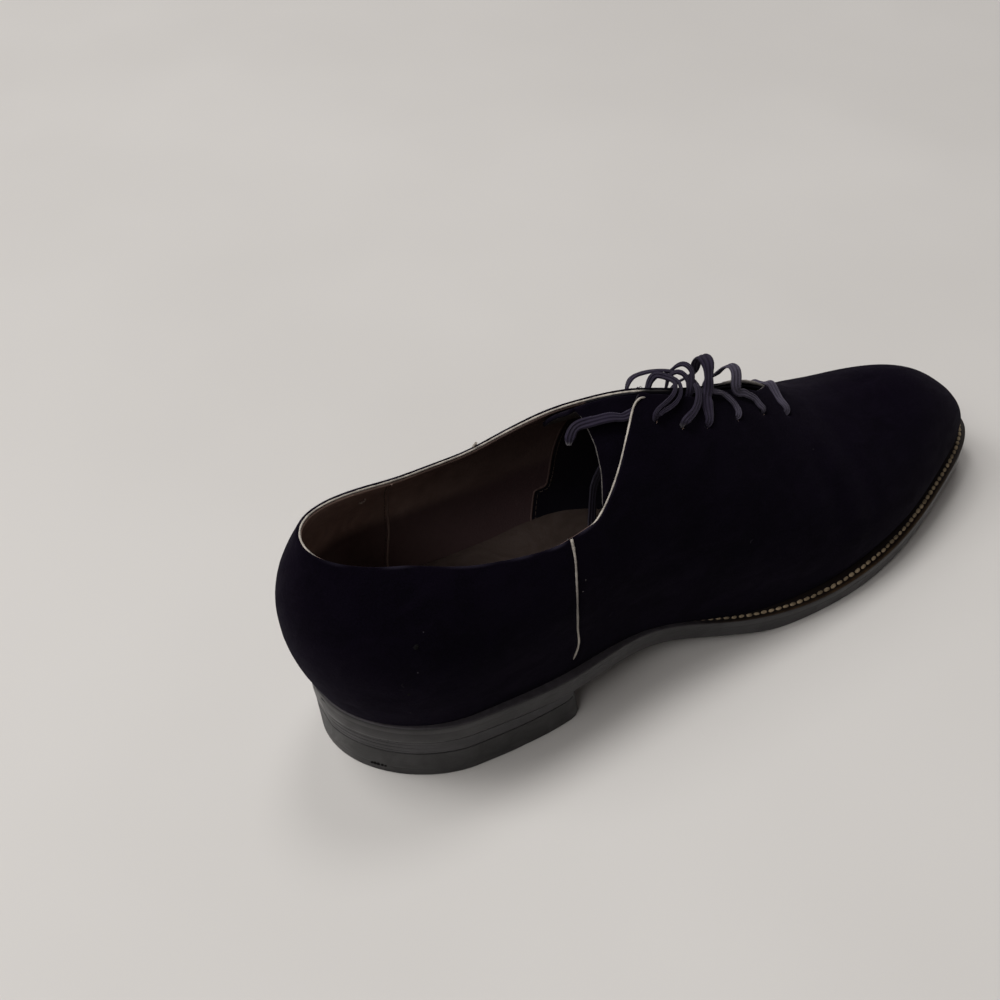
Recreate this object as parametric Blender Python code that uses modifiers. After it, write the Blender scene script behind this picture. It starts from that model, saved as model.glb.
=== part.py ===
"""Plain-fronted oxford shoe for the right foot, closed lacing, low stacked heel.

Every piece is its own closed solid.  The shapes come from one set of section
tables that describe the last (the form the shoe is built on), in millimetres
along the shoe from the back of the heel seat to the toe tip.  The objects are
written in metres: +X to the toe, +Y to the inner (medial) side, +Z up, with
the tread on z = 0 and the origin under the middle of the shoe's plan box.
"""
import math

import bmesh
import bpy
import numpy as np

MM = 0.001
NAME = "oxford_shoe"

# ---- driving dimensions, mm -------------------------------------------------
LENGTH = 300.0          # outsole, heel back to toe tip
ORIGIN_X = 146.455       # where the origin lies along the shoe
ORIGIN_Y = -6.98        # and across it
WALL = 2.0              # upper: suede and lining together
GAP = 0.3               # clearance between touching pieces
WELT_T = 2.8            # welt thickness
SOLE_T = 5.5            # outsole thickness
SOCK_RISE = 1.5         # insole top above the seat line
LIFT_SPLIT = 14.2       # height of the line between heel stack and top lift
HEEL_BREAST = 84.3      # front face of the heel at the floor
BREAST_LEAN = 6.3       # how far the breast leans back at its top
HEEL_TAPER = 1.15       # how much the heel narrows to the floor
TONGUE_T = 2.0

# Plan outline of the outsole: rounding at the heel and toe.
HEEL_ROUND = 39.3
TOE_ROUND = 126.0
TOE_POWER = 1.955
TOE_SWING = -10.5       # sideways shift of the toe tip, + to the inner side
# Toe box in side view.
TOE_BOX = 55.2
TOE_BOX_POWER = 2.33
# Back curve: fore and aft shift of the heel wall at the seat, at its fullest
# point and at the topline, and the heights of the last two.
BACK_SHIFT = (4.9, -2.9, 5.0)
BACK_HEIGHT = (67.1, 94.4)

# Section table. x along the shoe; half widths of the outsole to the inner and
# outer side; height of the seat line (bottom edge of the upper); overhang of
# the upper past the seat line on each side; height of the widest point above
# the seat; ridge height above the floor; crown power (1/2 is an ellipse, more
# is more peaked); sideways place of the ridge.
SECTION_COLUMNS = ("x", "w_in", "w_out", "seat", "over_in", "over_out",
                   "wide", "ridge", "crown", "ridge_y")
SECTIONS = (
    (0, 31.0, 34.3, 30.0, 1.0, 0.4, 23.3, 118.3, 0.85, 8.4),
    (40, 34.0, 40.0, 29.6, 3.0, 1.0, 22.5, 103.0, 0.85, 5.1),
    (80, 30.5, 41.7, 26.9, 7.0, -0.5, 22.0, 104.3, 0.79, 3.0),
    (115, 22.0, 37.8, 21.9, 11.5, -0.2, 20.0, 107.0, 0.82, 0.1),
    (150, 21.0, 45.6, 13.1, 10.5, -0.6, 16.9, 96.3, 0.89, -3.3),
    (180, 33.0, 50.1, 8.8, 6.5, 0.4, 14.0, 82.6, 0.81, 0.1),
    (210, 42.5, 51.0, 9.0, 3.6, 2.1, 11.5, 65.1, 0.69, 1.2),
    (240, 45.0, 48.7, 11.6, 2.0, 2.8, 9.4, 56.4, 0.57, 1.7),
    (270, 41.0, 43.4, 15.7, 1.5, 2.4, 8.2, 54.8, 0.48, 2.0),
    (300, 38.5, 39.5, 18.5, 1.6, 2.1, 7.1, 46.3, 0.43, 1.8),
)
# How far the seat line lies inside the outsole's edge.
SEAT_INSET = ((0, 0.6), (80, 3.2), (120, 1.5), (190, 5.2), (300, 4.7))
# Underside of the outsole: it meets the heel, arches, lies flat and springs.
TREAD = ((0, 21.4), (40, 21.0), (80, 18.3), (115, 13.3), (145, 5.6),
         (172, 0.0), (206, 0.0), (240, 3.0), (270, 7.1), (300, 9.9))

# Topline, from the heel's centre to the throat corner: share of the way
# (along the topline), station share (heel to toe), and section share (0 is
# the widest line, 1 is the ridge), outer and inner side.
TOPLINE_COLUMNS = ("share", "t_out", "c_out", "t_in", "c_in")
TOPLINE = (
    (0.00, 0.000, 0.500, 0.000, 0.500),
    (0.10, 0.028, 0.505, 0.029, 0.516),
    (0.25, 0.094, 0.514, 0.107, 0.563),
    (0.40, 0.181, 0.441, 0.184, 0.474),
    (0.52, 0.272, 0.380, 0.251, 0.405),
    (0.64, 0.317, 0.386, 0.306, 0.490),
    (0.70, 0.352, 0.474, 0.346, 0.580),
    (0.76, 0.385, 0.619, 0.384, 0.628),
    (0.86, 0.418, 0.821, 0.419, 0.780),
    (0.94, 0.433, 0.915, 0.434, 0.930),
)
THROAT_T = 0.440        # station share of the throat's top corners
VAMP_T = 0.640          # and of the slit's front end
# Half width of the throat slit at shares of its length.
SLIT = ((0.0, 1.8), (0.35, 3.3), (0.68, 4.6), (0.88, 3.0), (1.0, 0.0))

# Tongue: station share, and section share of its inner and outer edge.
TONGUE_DEPTH = WALL + 0.9
TONGUE_COLUMNS = ("t", "c_in", "c_out")
TONGUE = ((0.345, 0.50, 0.42), (0.44, 0.52, 0.50), (0.56, 0.60, 0.60), (0.68, 0.74, 0.74))

# Laces: a round stand-in for the flat lace; bars at shares of the slit, each
# arched above it by so many mm; eyelets so far in from the slit's edge.
LACE_R = 1.2
LACE_LIFT = 1.0
LACE_STEP = 3.2
EYELET_IN = 8.0
LACE_BAR_COLUMNS = ("slit_share", "arch")
LACE_BARS = ((0.97, 0.6), (0.80, 5.0), (0.60, 1.5), (0.42, 8.0))
# Free laces, each a smooth curve through a few points (x, y, z): two loops
# standing over the top of the slit, one end lying back over the tongue, and
# one hanging inside, under the tongue.
CORDS = {
    "lace_loop_a": ((131.6, 8, 99.6), (136.2, 8.5, 99.8), (141.4, 7, 99.9), (147.1, 3, 99.6),
                    (150.5, -2, 98.2), (149.6, -7, 96.9), (146, -11, 94.7), (138.5, -14.3, 93.9)),
    "lace_loop_b": ((136.3, 3.6, 98.6), (138.6, 4, 101.0), (141.6, 1, 101.2), (142.8, -3, 101.0),
                    (139.9, -7, 99.9), (135.1, -9, 99.5), (128.6, -11, 99.6)),
    "lace_end_a": ((117, -6.9, 100.7), (114.2, -6.1, 101.6), (109.5, -5.3, 102.3), (103.6, -4.5, 102.8),
                   (99.9, -4.2, 102.4), (97.6, -5.0, 99.8), (96.8, -5.6, 97.4)),
    "lace_end_b": ((112, -5, 80), (112, -2.5, 72), (112.5, -0.5, 65), (112.8, 0, 56), (113, 0, 46),
                   (112.6, 1, 36), (111, 2, 30.5)),
}


# ---- interpolation ----------------------------------------------------------
def smooth(x, xs, ys):
    """Natural cubic spline through (xs, ys), read at x."""
    xs, ys = np.asarray(xs, float), np.asarray(ys, float)
    n = len(xs)
    h, s = np.diff(xs), np.diff(ys) / np.diff(xs)
    a, b = np.eye(n), np.zeros(n)
    for i in range(1, n - 1):
        a[i, i - 1:i + 2] = h[i - 1], 2 * (h[i - 1] + h[i]), h[i]
        b[i] = 6 * (s[i] - s[i - 1])
    m = np.linalg.solve(a, b)
    x = np.asarray(x, float)
    k = np.clip(np.searchsorted(xs, x) - 1, 0, n - 2)
    d, e = x - xs[k], xs[k + 1] - x
    return (m[k] * e ** 3 + m[k + 1] * d ** 3) / (6 * h[k]) \
        + (ys[k] / h[k] - m[k] * h[k] / 6) * e \
        + (ys[k + 1] / h[k] - m[k + 1] * h[k] / 6) * d


def steady(x, rows):
    """Shape-keeping cubic through rows of (x, y): it never overshoots."""
    xs, ys = np.array(rows, float).T
    h, s = np.diff(xs), np.diff(ys) / np.diff(xs)
    d = np.zeros(len(xs))
    for i in range(1, len(xs) - 1):
        if s[i - 1] * s[i] > 0:
            w1, w2 = 2 * h[i] + h[i - 1], h[i] + 2 * h[i - 1]
            d[i] = (w1 + w2) / (w1 / s[i - 1] + w2 / s[i])
    d[0], d[-1] = s[0], s[-1]
    x = np.clip(np.asarray(x, float), xs[0], xs[-1])
    k = np.clip(np.searchsorted(xs, x) - 1, 0, len(xs) - 2)
    t = (x - xs[k]) / h[k]
    return (ys[k] * (1 + 2 * t) * (1 - t) ** 2 + h[k] * d[k] * t * (1 - t) ** 2
            + ys[k + 1] * t * t * (3 - 2 * t) + h[k] * d[k + 1] * t * t * (t - 1))


SEC = dict(zip(SECTION_COLUMNS, np.array(SECTIONS, float).T))
TOP = dict(zip(TOPLINE_COLUMNS, np.array(TOPLINE, float).T))


def sec(name, x):
    return smooth(x, SEC["x"], SEC[name])


# ---- the last ---------------------------------------------------------------
def rounding(x, x0, x1):
    """Plan rounding of the ends: 0 at x0 and x1, 1 along the middle."""
    a = np.clip((x - x0) / HEEL_ROUND, 0, 1)
    b = np.clip((x1 - x) / TOE_ROUND, 0, 1)
    return np.sqrt(1 - (1 - a) ** 2) * (1 - (1 - b) ** TOE_POWER) ** (1 / TOE_POWER)


def swing(x):
    return TOE_SWING * np.clip((x - 120) / 180, 0, None) ** 2


def edge(x, side, inset=0.0):
    """Sideways place of the outsole's edge; side is 1 inner, -1 outer."""
    w = sec("w_in" if side > 0 else "w_out", x)
    return swing(x) + side * (w - inset) * rounding(x, inset, LENGTH - inset)


def seat_line(t, side, inset=0.0):
    """x, y and rounding of the upper's bottom edge at station share t."""
    i0, i1 = SEAT_INSET[0][1] + inset, SEAT_INSET[-1][1] + inset
    x = i0 + np.asarray(t, float) * (LENGTH - i0 - i1)
    r = rounding(x, i0, LENGTH - i1)
    w = sec("w_in" if side > 0 else "w_out", x) - steady(x, SEAT_INSET) - inset
    return x, swing(x) + side * w * r, r


def last_section(t, side):
    """The section's own sizes at station share t."""
    x, y, r = seat_line(t, side)
    seat = sec("seat", x)
    toe = np.clip((LENGTH - SEAT_INSET[-1][1] - x) / TOE_BOX, 0, 1)
    box = (1 - (1 - toe) ** TOE_BOX_POWER) ** (1 / TOE_BOX_POWER)
    height = np.maximum((sec("ridge", x) - seat) * box, 1e-6)
    wide, most = sec("wide", x), 0.6 * height
    wide = wide * most / (wide ** 3 + most ** 3) ** (1 / 3)
    foot = side * (y - swing(x))
    full = foot + sec("over_in" if side > 0 else "over_out", x) * r
    ridge = sec("ridge_y", x) * r * side
    return x, seat, height, wide, foot, full, ridge, sec("crown", x)


def last(t, c, side):
    """Outside of the upper. c runs -1 at the seat line, 0 widest, 1 ridge."""
    t, c = np.asarray(t, float), np.asarray(c, float)
    x, seat, height, wide, foot, full, ridge, crown = last_section(t, side)
    u = np.sin(np.clip(c, 0, 1) * math.pi / 2)
    y = np.where(c >= 0, ridge + (full - ridge) * np.clip(1 - u * u, 0, 1) ** crown,
                 full - (full - foot) * c ** 2)
    z = np.where(c >= 0, seat + wide + (height - wide) * u, seat + wide + c * wide)
    b0, b1, b2 = BACK_SHIFT
    z0, (z1, z2) = sec("seat", SEAT_INSET[0][1]), BACK_HEIGHT
    back = np.where(z < z1, b1 + (b0 - b1) * np.clip((z1 - z) / (z1 - z0), 0, 1.5) ** 2,
                    b1 + (b2 - b1) * ((z - z1) / (z2 - z1)) ** 2)
    x = x + (back - b0) * np.clip(1 - t / 0.3, 0, 1) ** 2
    return np.stack([x, swing(seat_line(t, side)[0]) + side * y, z], -1)


def inside(t, c, side, depth):
    """The point at depth under the upper's outside, along its normal."""
    t, c = np.asarray(t, float), np.asarray(c, float)
    e = 0.004
    dt = last(np.clip(t + e, 0, 0.999), c, side) - last(np.clip(t - e, 0, 0.999), c, side)
    dc = last(t, np.clip(c + e, -1, 0.999), side) - last(t, np.clip(c - e, -1, 0.999), side)
    n = np.cross(dt, dc) * -side
    n /= np.maximum(np.linalg.norm(n, axis=-1, keepdims=True), 1e-9)
    return last(t, c, side) - n * depth


def slit_share(q, side):
    """Station share and section share of the slit's edge at share q."""
    t = THROAT_T + (VAMP_T - THROAT_T) * np.asarray(q, float)
    full, ridge, crown = last_section(t, side)[5:]
    gap = np.maximum(steady(q, SLIT), 1e-6)
    u = np.sqrt(1 - (gap / (full - ridge)) ** (1 / crown))
    return t, np.where(np.asarray(q) >= 1, 1.0, 2 / math.pi * np.arcsin(u))


def topline_share(k, side):
    """Station share and section share along the topline."""
    t9, c9 = slit_share(0.0, side)
    which = "out" if side < 0 else "in"
    ts = list(zip(TOP["share"], TOP["t_" + which])) + [(1.0, float(t9))]
    cs = list(zip(TOP["share"], TOP["c_" + which])) + [(1.0, float(c9))]
    return steady(k, ts), steady(k, cs)


# ---- building ---------------------------------------------------------------
def place(points):
    """Shoe millimetres to world metres."""
    return (np.asarray(points, float) - (ORIGIN_X, ORIGIN_Y, 0.0)) * MM


def clear_scene():
    for obj in list(bpy.data.objects):
        bpy.data.objects.remove(obj, do_unlink=True)


def material(name, colour, roughness, metallic=0.0):
    mat = bpy.data.materials.new(name)
    mat.use_nodes = True
    bsdf = mat.node_tree.nodes["Principled BSDF"]
    bsdf.inputs["Base Color"].default_value = (*colour, 1.0)
    bsdf.inputs["Roughness"].default_value = roughness
    bsdf.inputs["Metallic"].default_value = metallic
    mat.diffuse_color = (*colour, 1.0)
    return mat


def add_object(name, data, mat, collection, smooth_angle=35):
    obj = bpy.data.objects.new(name, data)
    collection.objects.link(obj)
    data.materials.clear()
    data.materials.append(mat)
    if isinstance(data, bpy.types.Mesh):
        data.shade_smooth()
        data.set_sharp_from_angle(angle=math.radians(smooth_angle))
    return obj


def mesh_from(name, points, faces, weld=0.02):
    """Mesh from shoe millimetres; points nearer than weld mm are joined."""
    bm = bmesh.new()
    verts = [bm.verts.new(p) for p in place(points).tolist()]
    for f in faces:
        bm.faces.new([verts[i] for i in f])
    bmesh.ops.remove_doubles(bm, verts=bm.verts, dist=weld * MM)
    bmesh.ops.dissolve_degenerate(bm, edges=bm.edges, dist=weld * MM)
    bm.normal_update()
    mesh = bpy.data.meshes.new(name)
    bm.to_mesh(mesh)
    bm.free()
    return mesh


def close_up(mesh):
    """Turns a closed mesh's faces outward."""
    bm = bmesh.new()
    bm.from_mesh(mesh)
    bmesh.ops.recalc_face_normals(bm, faces=bm.faces)
    if bm.calc_volume(signed=True) < 0:
        bmesh.ops.reverse_faces(bm, faces=bm.faces)
    bm.to_mesh(mesh)
    bm.free()
    return mesh


def loft(name, sections, ring=False):
    """Skin over equal-length closed sections, capped unless it is a ring."""
    n, m = len(sections), len(sections[0])
    points = [p for s in sections for p in s]
    faces = []
    for i in range(n if ring else n - 1):
        a, b = i * m, (i + 1) % n * m
        for j in range(m):
            k = (j + 1) % m
            faces.append((a + j, b + j, b + k, a + k))
    if not ring:
        faces.append(tuple(range(m)))
        faces.append(tuple(reversed(range((n - 1) * m, n * m))))
    return close_up(mesh_from(name, points, faces, weld=0.001))


def spread(n, first=0.0, end=1.0, ends=0.045):
    """Shares bunched at both ends, where the plan curves most."""
    a = np.linspace(ends, math.pi - ends, n)
    s = (1 - np.cos(a)) / 2
    return first + (end - first) * s


def wall(side, n_top=24, n_slit=9, n_toe=13, n_up=13):
    """Grid of the upper's outside on one side, columns from heel to toe."""
    k = np.linspace(0, 1, n_top + 1) ** 1.5
    q = np.linspace(0, 1, n_slit + 1)[1:]
    r = np.linspace(0, 1, n_toe + 1)[1:]
    t1, c1 = topline_share(k, side)
    t2, c2 = slit_share(q, side)
    t3 = 1 - (1 - VAMP_T) * (1 - r) ** 1.5
    top_t = np.concatenate([t1, t2, t3])
    top_c = np.concatenate([c1, c2, np.ones_like(t3)])
    low_t = steady(top_t, ((0, 0), (THROAT_T, THROAT_T - 0.045),
                           (VAMP_T, VAMP_T - 0.015), (1, 1)))
    v = np.linspace(0, 1, n_up + 1)
    t = low_t[:, None] + (top_t - low_t)[:, None] * v[None]
    c = -1 + (top_c + 1)[:, None] * v[None] ** 0.85
    p = last(t, c, side)
    p[..., 2] += GAP
    return p


def make_upper(mat, collection):
    points, faces = [], []
    for side in (1, -1):
        g = wall(side)
        n, m = g.shape[:2]
        base = len(points)
        points.extend(g.reshape(-1, 3).tolist())
        for i in range(n - 1):
            for j in range(m - 1):
                a = base + i * m + j
                f = (a, a + m, a + m + 1, a + 1)
                faces.append(f if side < 0 else f[::-1])
    obj = add_object("upper", mesh_from("upper", points, faces), mat, collection, 50)
    shell = obj.modifiers.new("wall", "SOLIDIFY")
    shell.thickness = WALL * MM
    shell.offset = -1
    shell.use_even_offset = True
    shell.use_quality_normals = True
    return obj


def seat_z(x):
    return sec("seat", x)


def sole_top(x):
    return seat_z(x) - WELT_T - GAP


def tread_z(x):
    return steady(x, TREAD)


def make_outsole(mat, collection, n=46):
    rows = []
    for x in LENGTH * spread(n):
        lo, hi = tread_z(x), sole_top(x)
        y0, y1 = edge(x, -1), edge(x, 1)
        b = min(1.0, 0.3 * (y1 - y0))
        rows.append([(x, y0, hi), (x, y0, lo + 1), (x, y0 + b, lo),
                     (x, y1 - b, lo), (x, y1, lo + 1), (x, y1, hi)])
    return add_object("outsole", loft("outsole", rows), mat, collection)


def make_welt(mat, collection, n=44):
    rows = []
    t = spread(n, ends=0.0)
    for side, order in ((1, t), (-1, t[::-1])):
        for s in (order[:-1] if side > 0 else order[:-1]):
            x = LENGTH * s
            y = edge(x, side)
            xi, yi, _ = seat_line(s, side, WALL)
            rows.append([(x, y, seat_z(x)), (x, y, sole_top(x) + GAP),
                         (float(xi), float(yi), sole_top(xi) + GAP),
                         (float(xi), float(yi), seat_z(xi))])
    return add_object("welt", loft("welt", rows, ring=True), mat, collection)


def make_insole(mat, collection, n=36):
    rows = []
    for t in spread(n):
        x, y1, _ = seat_line(t, 1, WALL + 1.0)
        _, y0, _ = seat_line(t, -1, WALL + 1.0)
        lo, hi = sole_top(x) + GAP, seat_z(x) + SOCK_RISE
        rows.append([(x, y0, hi), (x, y0, lo), (x, y1, lo), (x, y1, hi)])
    return add_object("insole", loft("insole", rows), mat, collection)


def heel_block(name, low, high, mat, collection, n=20):
    """A slice of the heel between two heights, its breast leaning back."""
    top = float(seat_z(20.0))
    share = spread(2 * n, ends=0.03)[:n]
    rows = []
    for s in share / share[-1]:
        row = []
        for side, level in ((-1, high), (-1, low), (1, low), (1, high)):
            x = HEEL_TAPER + s * (HEEL_BREAST - HEEL_TAPER)
            z = float(level(x))
            y = float(edge(x, side, HEEL_TAPER * (1 - z / top)))
            row.append((x - BREAST_LEAN * z / top * s ** 4, y, z))
        rows.append(row)
    return add_object(name, loft(name, rows), mat, collection)


def make_tongue(mat, collection, n=15):
    """Sheet under the facings, following the inside of the upper."""
    shares = (-1, -0.85, -0.7, -0.55, -0.4, 0, 0.4, 0.55, 0.7, 0.85, 1)
    w = len(shares)
    grid = []
    for t in np.linspace(TONGUE[0][0], TONGUE[-1][0], n):
        row = []
        for s in shares:
            side = 1 if s > 0 else -1
            c_edge = steady(t, [(r[0], r[1] if side > 0 else r[2]) for r in TONGUE])
            row.append(inside(t, 1 - (1 - c_edge) * abs(s), side, TONGUE_DEPTH))
        # The middle rounds over between the two sides.
        row[5] = (row[4] + row[6]) / 2 + ((row[4] + row[6]) - (row[3] + row[7])) / 2
        grid.append(row)
    points = [p for row in grid for p in row]
    faces = [(i * w + j, (i + 1) * w + j, (i + 1) * w + j + 1, i * w + j + 1)
             for i in range(n - 1) for j in range(w - 1)]
    mesh = mesh_from("tongue", points, faces)
    if sum(p.normal.z for p in mesh.polygons) < 0:
        mesh.flip_normals()
    obj = add_object("tongue", mesh, mat, collection, 60)
    sheet = obj.modifiers.new("thickness", "SOLIDIFY")
    sheet.thickness = TONGUE_T * MM
    sheet.offset = -1
    return obj


def off_slit(q, side, reach, lift):
    """Point over the facing, reach mm from the slit's edge, lift mm above it."""
    t, c0 = slit_share(q, side)
    c = np.linspace(float(c0), 0.2, 60)
    p = last(np.full_like(c, t), c, side)
    run = np.concatenate([[0], np.cumsum(np.linalg.norm(np.diff(p, axis=0), axis=1))])
    return inside(float(t), float(np.interp(reach, run, c)), side, -lift)


def curve_through(keys, step):
    """Evenly spaced points on a smooth curve through the key points."""
    keys = np.asarray(keys, float)
    run = np.concatenate([[0], np.cumsum(np.linalg.norm(np.diff(keys, axis=0), axis=1))])
    fine = np.linspace(0, run[-1], 40 * len(keys))
    p = np.stack([smooth(fine, run, keys[:, i]) for i in range(3)], -1)
    arc = np.concatenate([[0], np.cumsum(np.linalg.norm(np.diff(p, axis=0), axis=1))])
    even = np.linspace(0, arc[-1], max(4, round(arc[-1] / step) + 1))
    return np.stack([np.interp(even, arc, p[:, i]) for i in range(3)], -1)


def cord(name, keys, radius, step, mat, collection):
    """Round tube with filled caps along a smooth curve."""
    path = place(curve_through(keys, step))
    data = bpy.data.curves.new(name, "CURVE")
    data.dimensions = "3D"
    data.bevel_depth = radius * MM
    data.bevel_resolution = 2
    data.use_fill_caps = True
    data.resolution_u = 1
    spline = data.splines.new("POLY")
    spline.points.add(len(path) - 1)
    for point, p in zip(spline.points, path):
        point.co = (*p, 1.0)
    return add_object(name, data, mat, collection)


def bar_keys():
    """One lace going to and fro over the slit, a bar at each pair of eyelets."""
    keys = []
    for k, (q, arch) in enumerate(LACE_BARS):
        rest = LACE_R + LACE_LIFT
        near = [off_slit(q, -1, EYELET_IN, rest), off_slit(q, -1, 3.0, rest + 0.4 + 0.3 * arch)]
        far = [off_slit(q, 1, 3.0, rest + 0.4 + 0.3 * arch), off_slit(q, 1, EYELET_IN, rest)]
        middle = (near[1] + far[0]) / 2
        middle[2] = last(float(slit_share(q, 1)[0]), 1.0, 1)[2] + rest + 0.4 + arch
        row = near + [middle] + far
        keys += row if k % 2 == 0 else row[::-1]
    return keys


def main():
    clear_scene()
    shoe = bpy.data.collections.new(NAME)
    bpy.context.scene.collection.children.link(shoe)
    black = material("black_leather_sole", (0.012, 0.012, 0.013), 0.42)
    rubber = material("black_rubber", (0.016, 0.016, 0.017), 0.6)
    suede = material("midnight_suede", (0.020, 0.018, 0.030), 0.9)
    lining = material("brown_sock_leather", (0.16, 0.12, 0.09), 0.7)
    lace = material("plum_grey_lace", (0.11, 0.10, 0.15), 0.8)

    make_outsole(black, shoe)
    make_welt(black, shoe)
    heel_block("heel_stack", lambda x: LIFT_SPLIT + GAP / 2,
               lambda x: tread_z(x) - GAP, black, shoe)
    heel_block("top_lift", lambda x: 0.0, lambda x: LIFT_SPLIT - GAP / 2, rubber, shoe)
    make_insole(lining, shoe)
    make_upper(suede, shoe)
    make_tongue(suede, shoe)
    cord("lace_bars", bar_keys(), LACE_R, LACE_STEP, lace, shoe)
    for name, keys in CORDS.items():
        cord(name, keys, LACE_R, LACE_STEP, lace, shoe)


main()
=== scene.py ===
"""Look of the plain-fronted oxford shoe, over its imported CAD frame.

The forms come from the same section tables as the part: millimetres along the
shoe from the back of the heel seat, +X to the toe, +Y to the inner side, +Z up.
"""
import math

import bmesh
import bpy
import numpy as np
from mathutils import Matrix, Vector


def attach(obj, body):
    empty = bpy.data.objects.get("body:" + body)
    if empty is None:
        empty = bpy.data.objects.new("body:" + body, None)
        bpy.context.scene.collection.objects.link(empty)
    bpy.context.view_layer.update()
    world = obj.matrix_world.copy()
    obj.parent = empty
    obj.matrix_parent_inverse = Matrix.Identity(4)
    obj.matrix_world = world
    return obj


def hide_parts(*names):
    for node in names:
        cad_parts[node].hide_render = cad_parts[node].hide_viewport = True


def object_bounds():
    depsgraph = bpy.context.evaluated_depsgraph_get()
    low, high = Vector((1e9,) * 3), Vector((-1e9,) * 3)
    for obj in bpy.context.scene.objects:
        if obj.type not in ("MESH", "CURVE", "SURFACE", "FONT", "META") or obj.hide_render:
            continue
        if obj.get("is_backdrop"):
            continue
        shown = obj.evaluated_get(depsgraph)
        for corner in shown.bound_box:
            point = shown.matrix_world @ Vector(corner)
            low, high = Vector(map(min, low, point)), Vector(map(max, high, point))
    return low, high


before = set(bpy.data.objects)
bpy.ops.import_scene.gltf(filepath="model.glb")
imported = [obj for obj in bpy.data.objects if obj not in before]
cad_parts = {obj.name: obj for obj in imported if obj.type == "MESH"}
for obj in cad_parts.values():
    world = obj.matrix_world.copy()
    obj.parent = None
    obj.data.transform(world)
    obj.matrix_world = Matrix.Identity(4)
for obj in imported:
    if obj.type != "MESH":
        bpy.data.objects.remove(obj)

CAD_BOX = [list(map(float, corner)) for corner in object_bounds()]

MM = 0.001

# ---- driving dimensions, mm -------------------------------------------------
LENGTH = 300.0          # outsole, heel back to toe tip
ORIGIN_X = 146.455       # where the origin lies along the shoe
ORIGIN_Y = -6.98        # and across it
WALL = 2.0              # upper: suede and lining together
GAP = 0.3               # clearance between touching pieces
WELT_T = 2.8            # welt thickness
SOLE_T = 5.5            # outsole thickness
SOCK_RISE = 1.5         # insole top above the seat line
LIFT_SPLIT = 14.2       # height of the line between heel stack and top lift
HEEL_BREAST = 84.3      # front face of the heel at the floor
BREAST_LEAN = 6.3       # how far the breast leans back at its top
HEEL_TAPER = 1.15       # how much the heel narrows to the floor
TONGUE_T = 2.0

# Plan outline of the outsole: rounding at the heel and toe.
HEEL_ROUND = 39.3
TOE_ROUND = 126.0
TOE_POWER = 1.955
TOE_SWING = -10.5       # sideways shift of the toe tip, + to the inner side
# Toe box in side view.
TOE_BOX = 55.2
TOE_BOX_POWER = 2.33
# Back curve: fore and aft shift of the heel wall at the seat, at its fullest
# point and at the topline, and the heights of the last two.
BACK_SHIFT = (4.9, -2.9, 5.0)
BACK_HEIGHT = (67.1, 94.4)

# Section table. x along the shoe; half widths of the outsole to the inner and
# outer side; height of the seat line (bottom edge of the upper); overhang of
# the upper past the seat line on each side; height of the widest point above
# the seat; ridge height above the floor; crown power (1/2 is an ellipse, more
# is more peaked); sideways place of the ridge.
SECTION_COLUMNS = ("x", "w_in", "w_out", "seat", "over_in", "over_out",
                   "wide", "ridge", "crown", "ridge_y")
SECTIONS = (
    (0, 31.0, 34.3, 30.0, 1.0, 0.4, 23.3, 118.3, 0.85, 8.4),
    (40, 34.0, 40.0, 29.6, 3.0, 1.0, 22.5, 103.0, 0.85, 5.1),
    (80, 30.5, 41.7, 26.9, 7.0, -0.5, 22.0, 104.3, 0.79, 3.0),
    (115, 22.0, 37.8, 21.9, 11.5, -0.2, 20.0, 107.0, 0.82, 0.1),
    (150, 21.0, 45.6, 13.1, 10.5, -0.6, 16.9, 96.3, 0.89, -3.3),
    (180, 33.0, 50.1, 8.8, 6.5, 0.4, 14.0, 82.6, 0.81, 0.1),
    (210, 42.5, 51.0, 9.0, 3.6, 2.1, 11.5, 65.1, 0.69, 1.2),
    (240, 45.0, 48.7, 11.6, 2.0, 2.8, 9.4, 56.4, 0.57, 1.7),
    (270, 41.0, 43.4, 15.7, 1.5, 2.4, 8.2, 54.8, 0.48, 2.0),
    (300, 38.5, 39.5, 18.5, 1.6, 2.1, 7.1, 46.3, 0.43, 1.8),
)
# How far the seat line lies inside the outsole's edge.
SEAT_INSET = ((0, 0.6), (80, 3.2), (120, 1.5), (190, 5.2), (300, 4.7))
# Underside of the outsole: it meets the heel, arches, lies flat and springs.
TREAD = ((0, 21.4), (40, 21.0), (80, 18.3), (115, 13.3), (145, 5.6),
         (172, 0.0), (206, 0.0), (240, 3.0), (270, 7.1), (300, 9.9))

# Topline, from the heel's centre to the throat corner: share of the way
# (along the topline), station share (heel to toe), and section share (0 is
# the widest line, 1 is the ridge), outer and inner side.
TOPLINE_COLUMNS = ("share", "t_out", "c_out", "t_in", "c_in")
TOPLINE = (
    (0.00, 0.000, 0.500, 0.000, 0.500),
    (0.10, 0.028, 0.505, 0.029, 0.516),
    (0.25, 0.094, 0.514, 0.107, 0.563),
    (0.40, 0.181, 0.441, 0.184, 0.474),
    (0.52, 0.272, 0.380, 0.251, 0.405),
    (0.64, 0.317, 0.386, 0.306, 0.490),
    (0.70, 0.352, 0.474, 0.346, 0.580),
    (0.76, 0.385, 0.619, 0.384, 0.628),
    (0.86, 0.418, 0.821, 0.419, 0.780),
    (0.94, 0.433, 0.915, 0.434, 0.930),
)
THROAT_T = 0.440        # station share of the throat's top corners
VAMP_T = 0.640          # and of the slit's front end
# Half width of the throat slit at shares of its length.
SLIT = ((0.0, 1.8), (0.35, 3.3), (0.68, 4.6), (0.88, 3.0), (1.0, 0.0))

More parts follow.
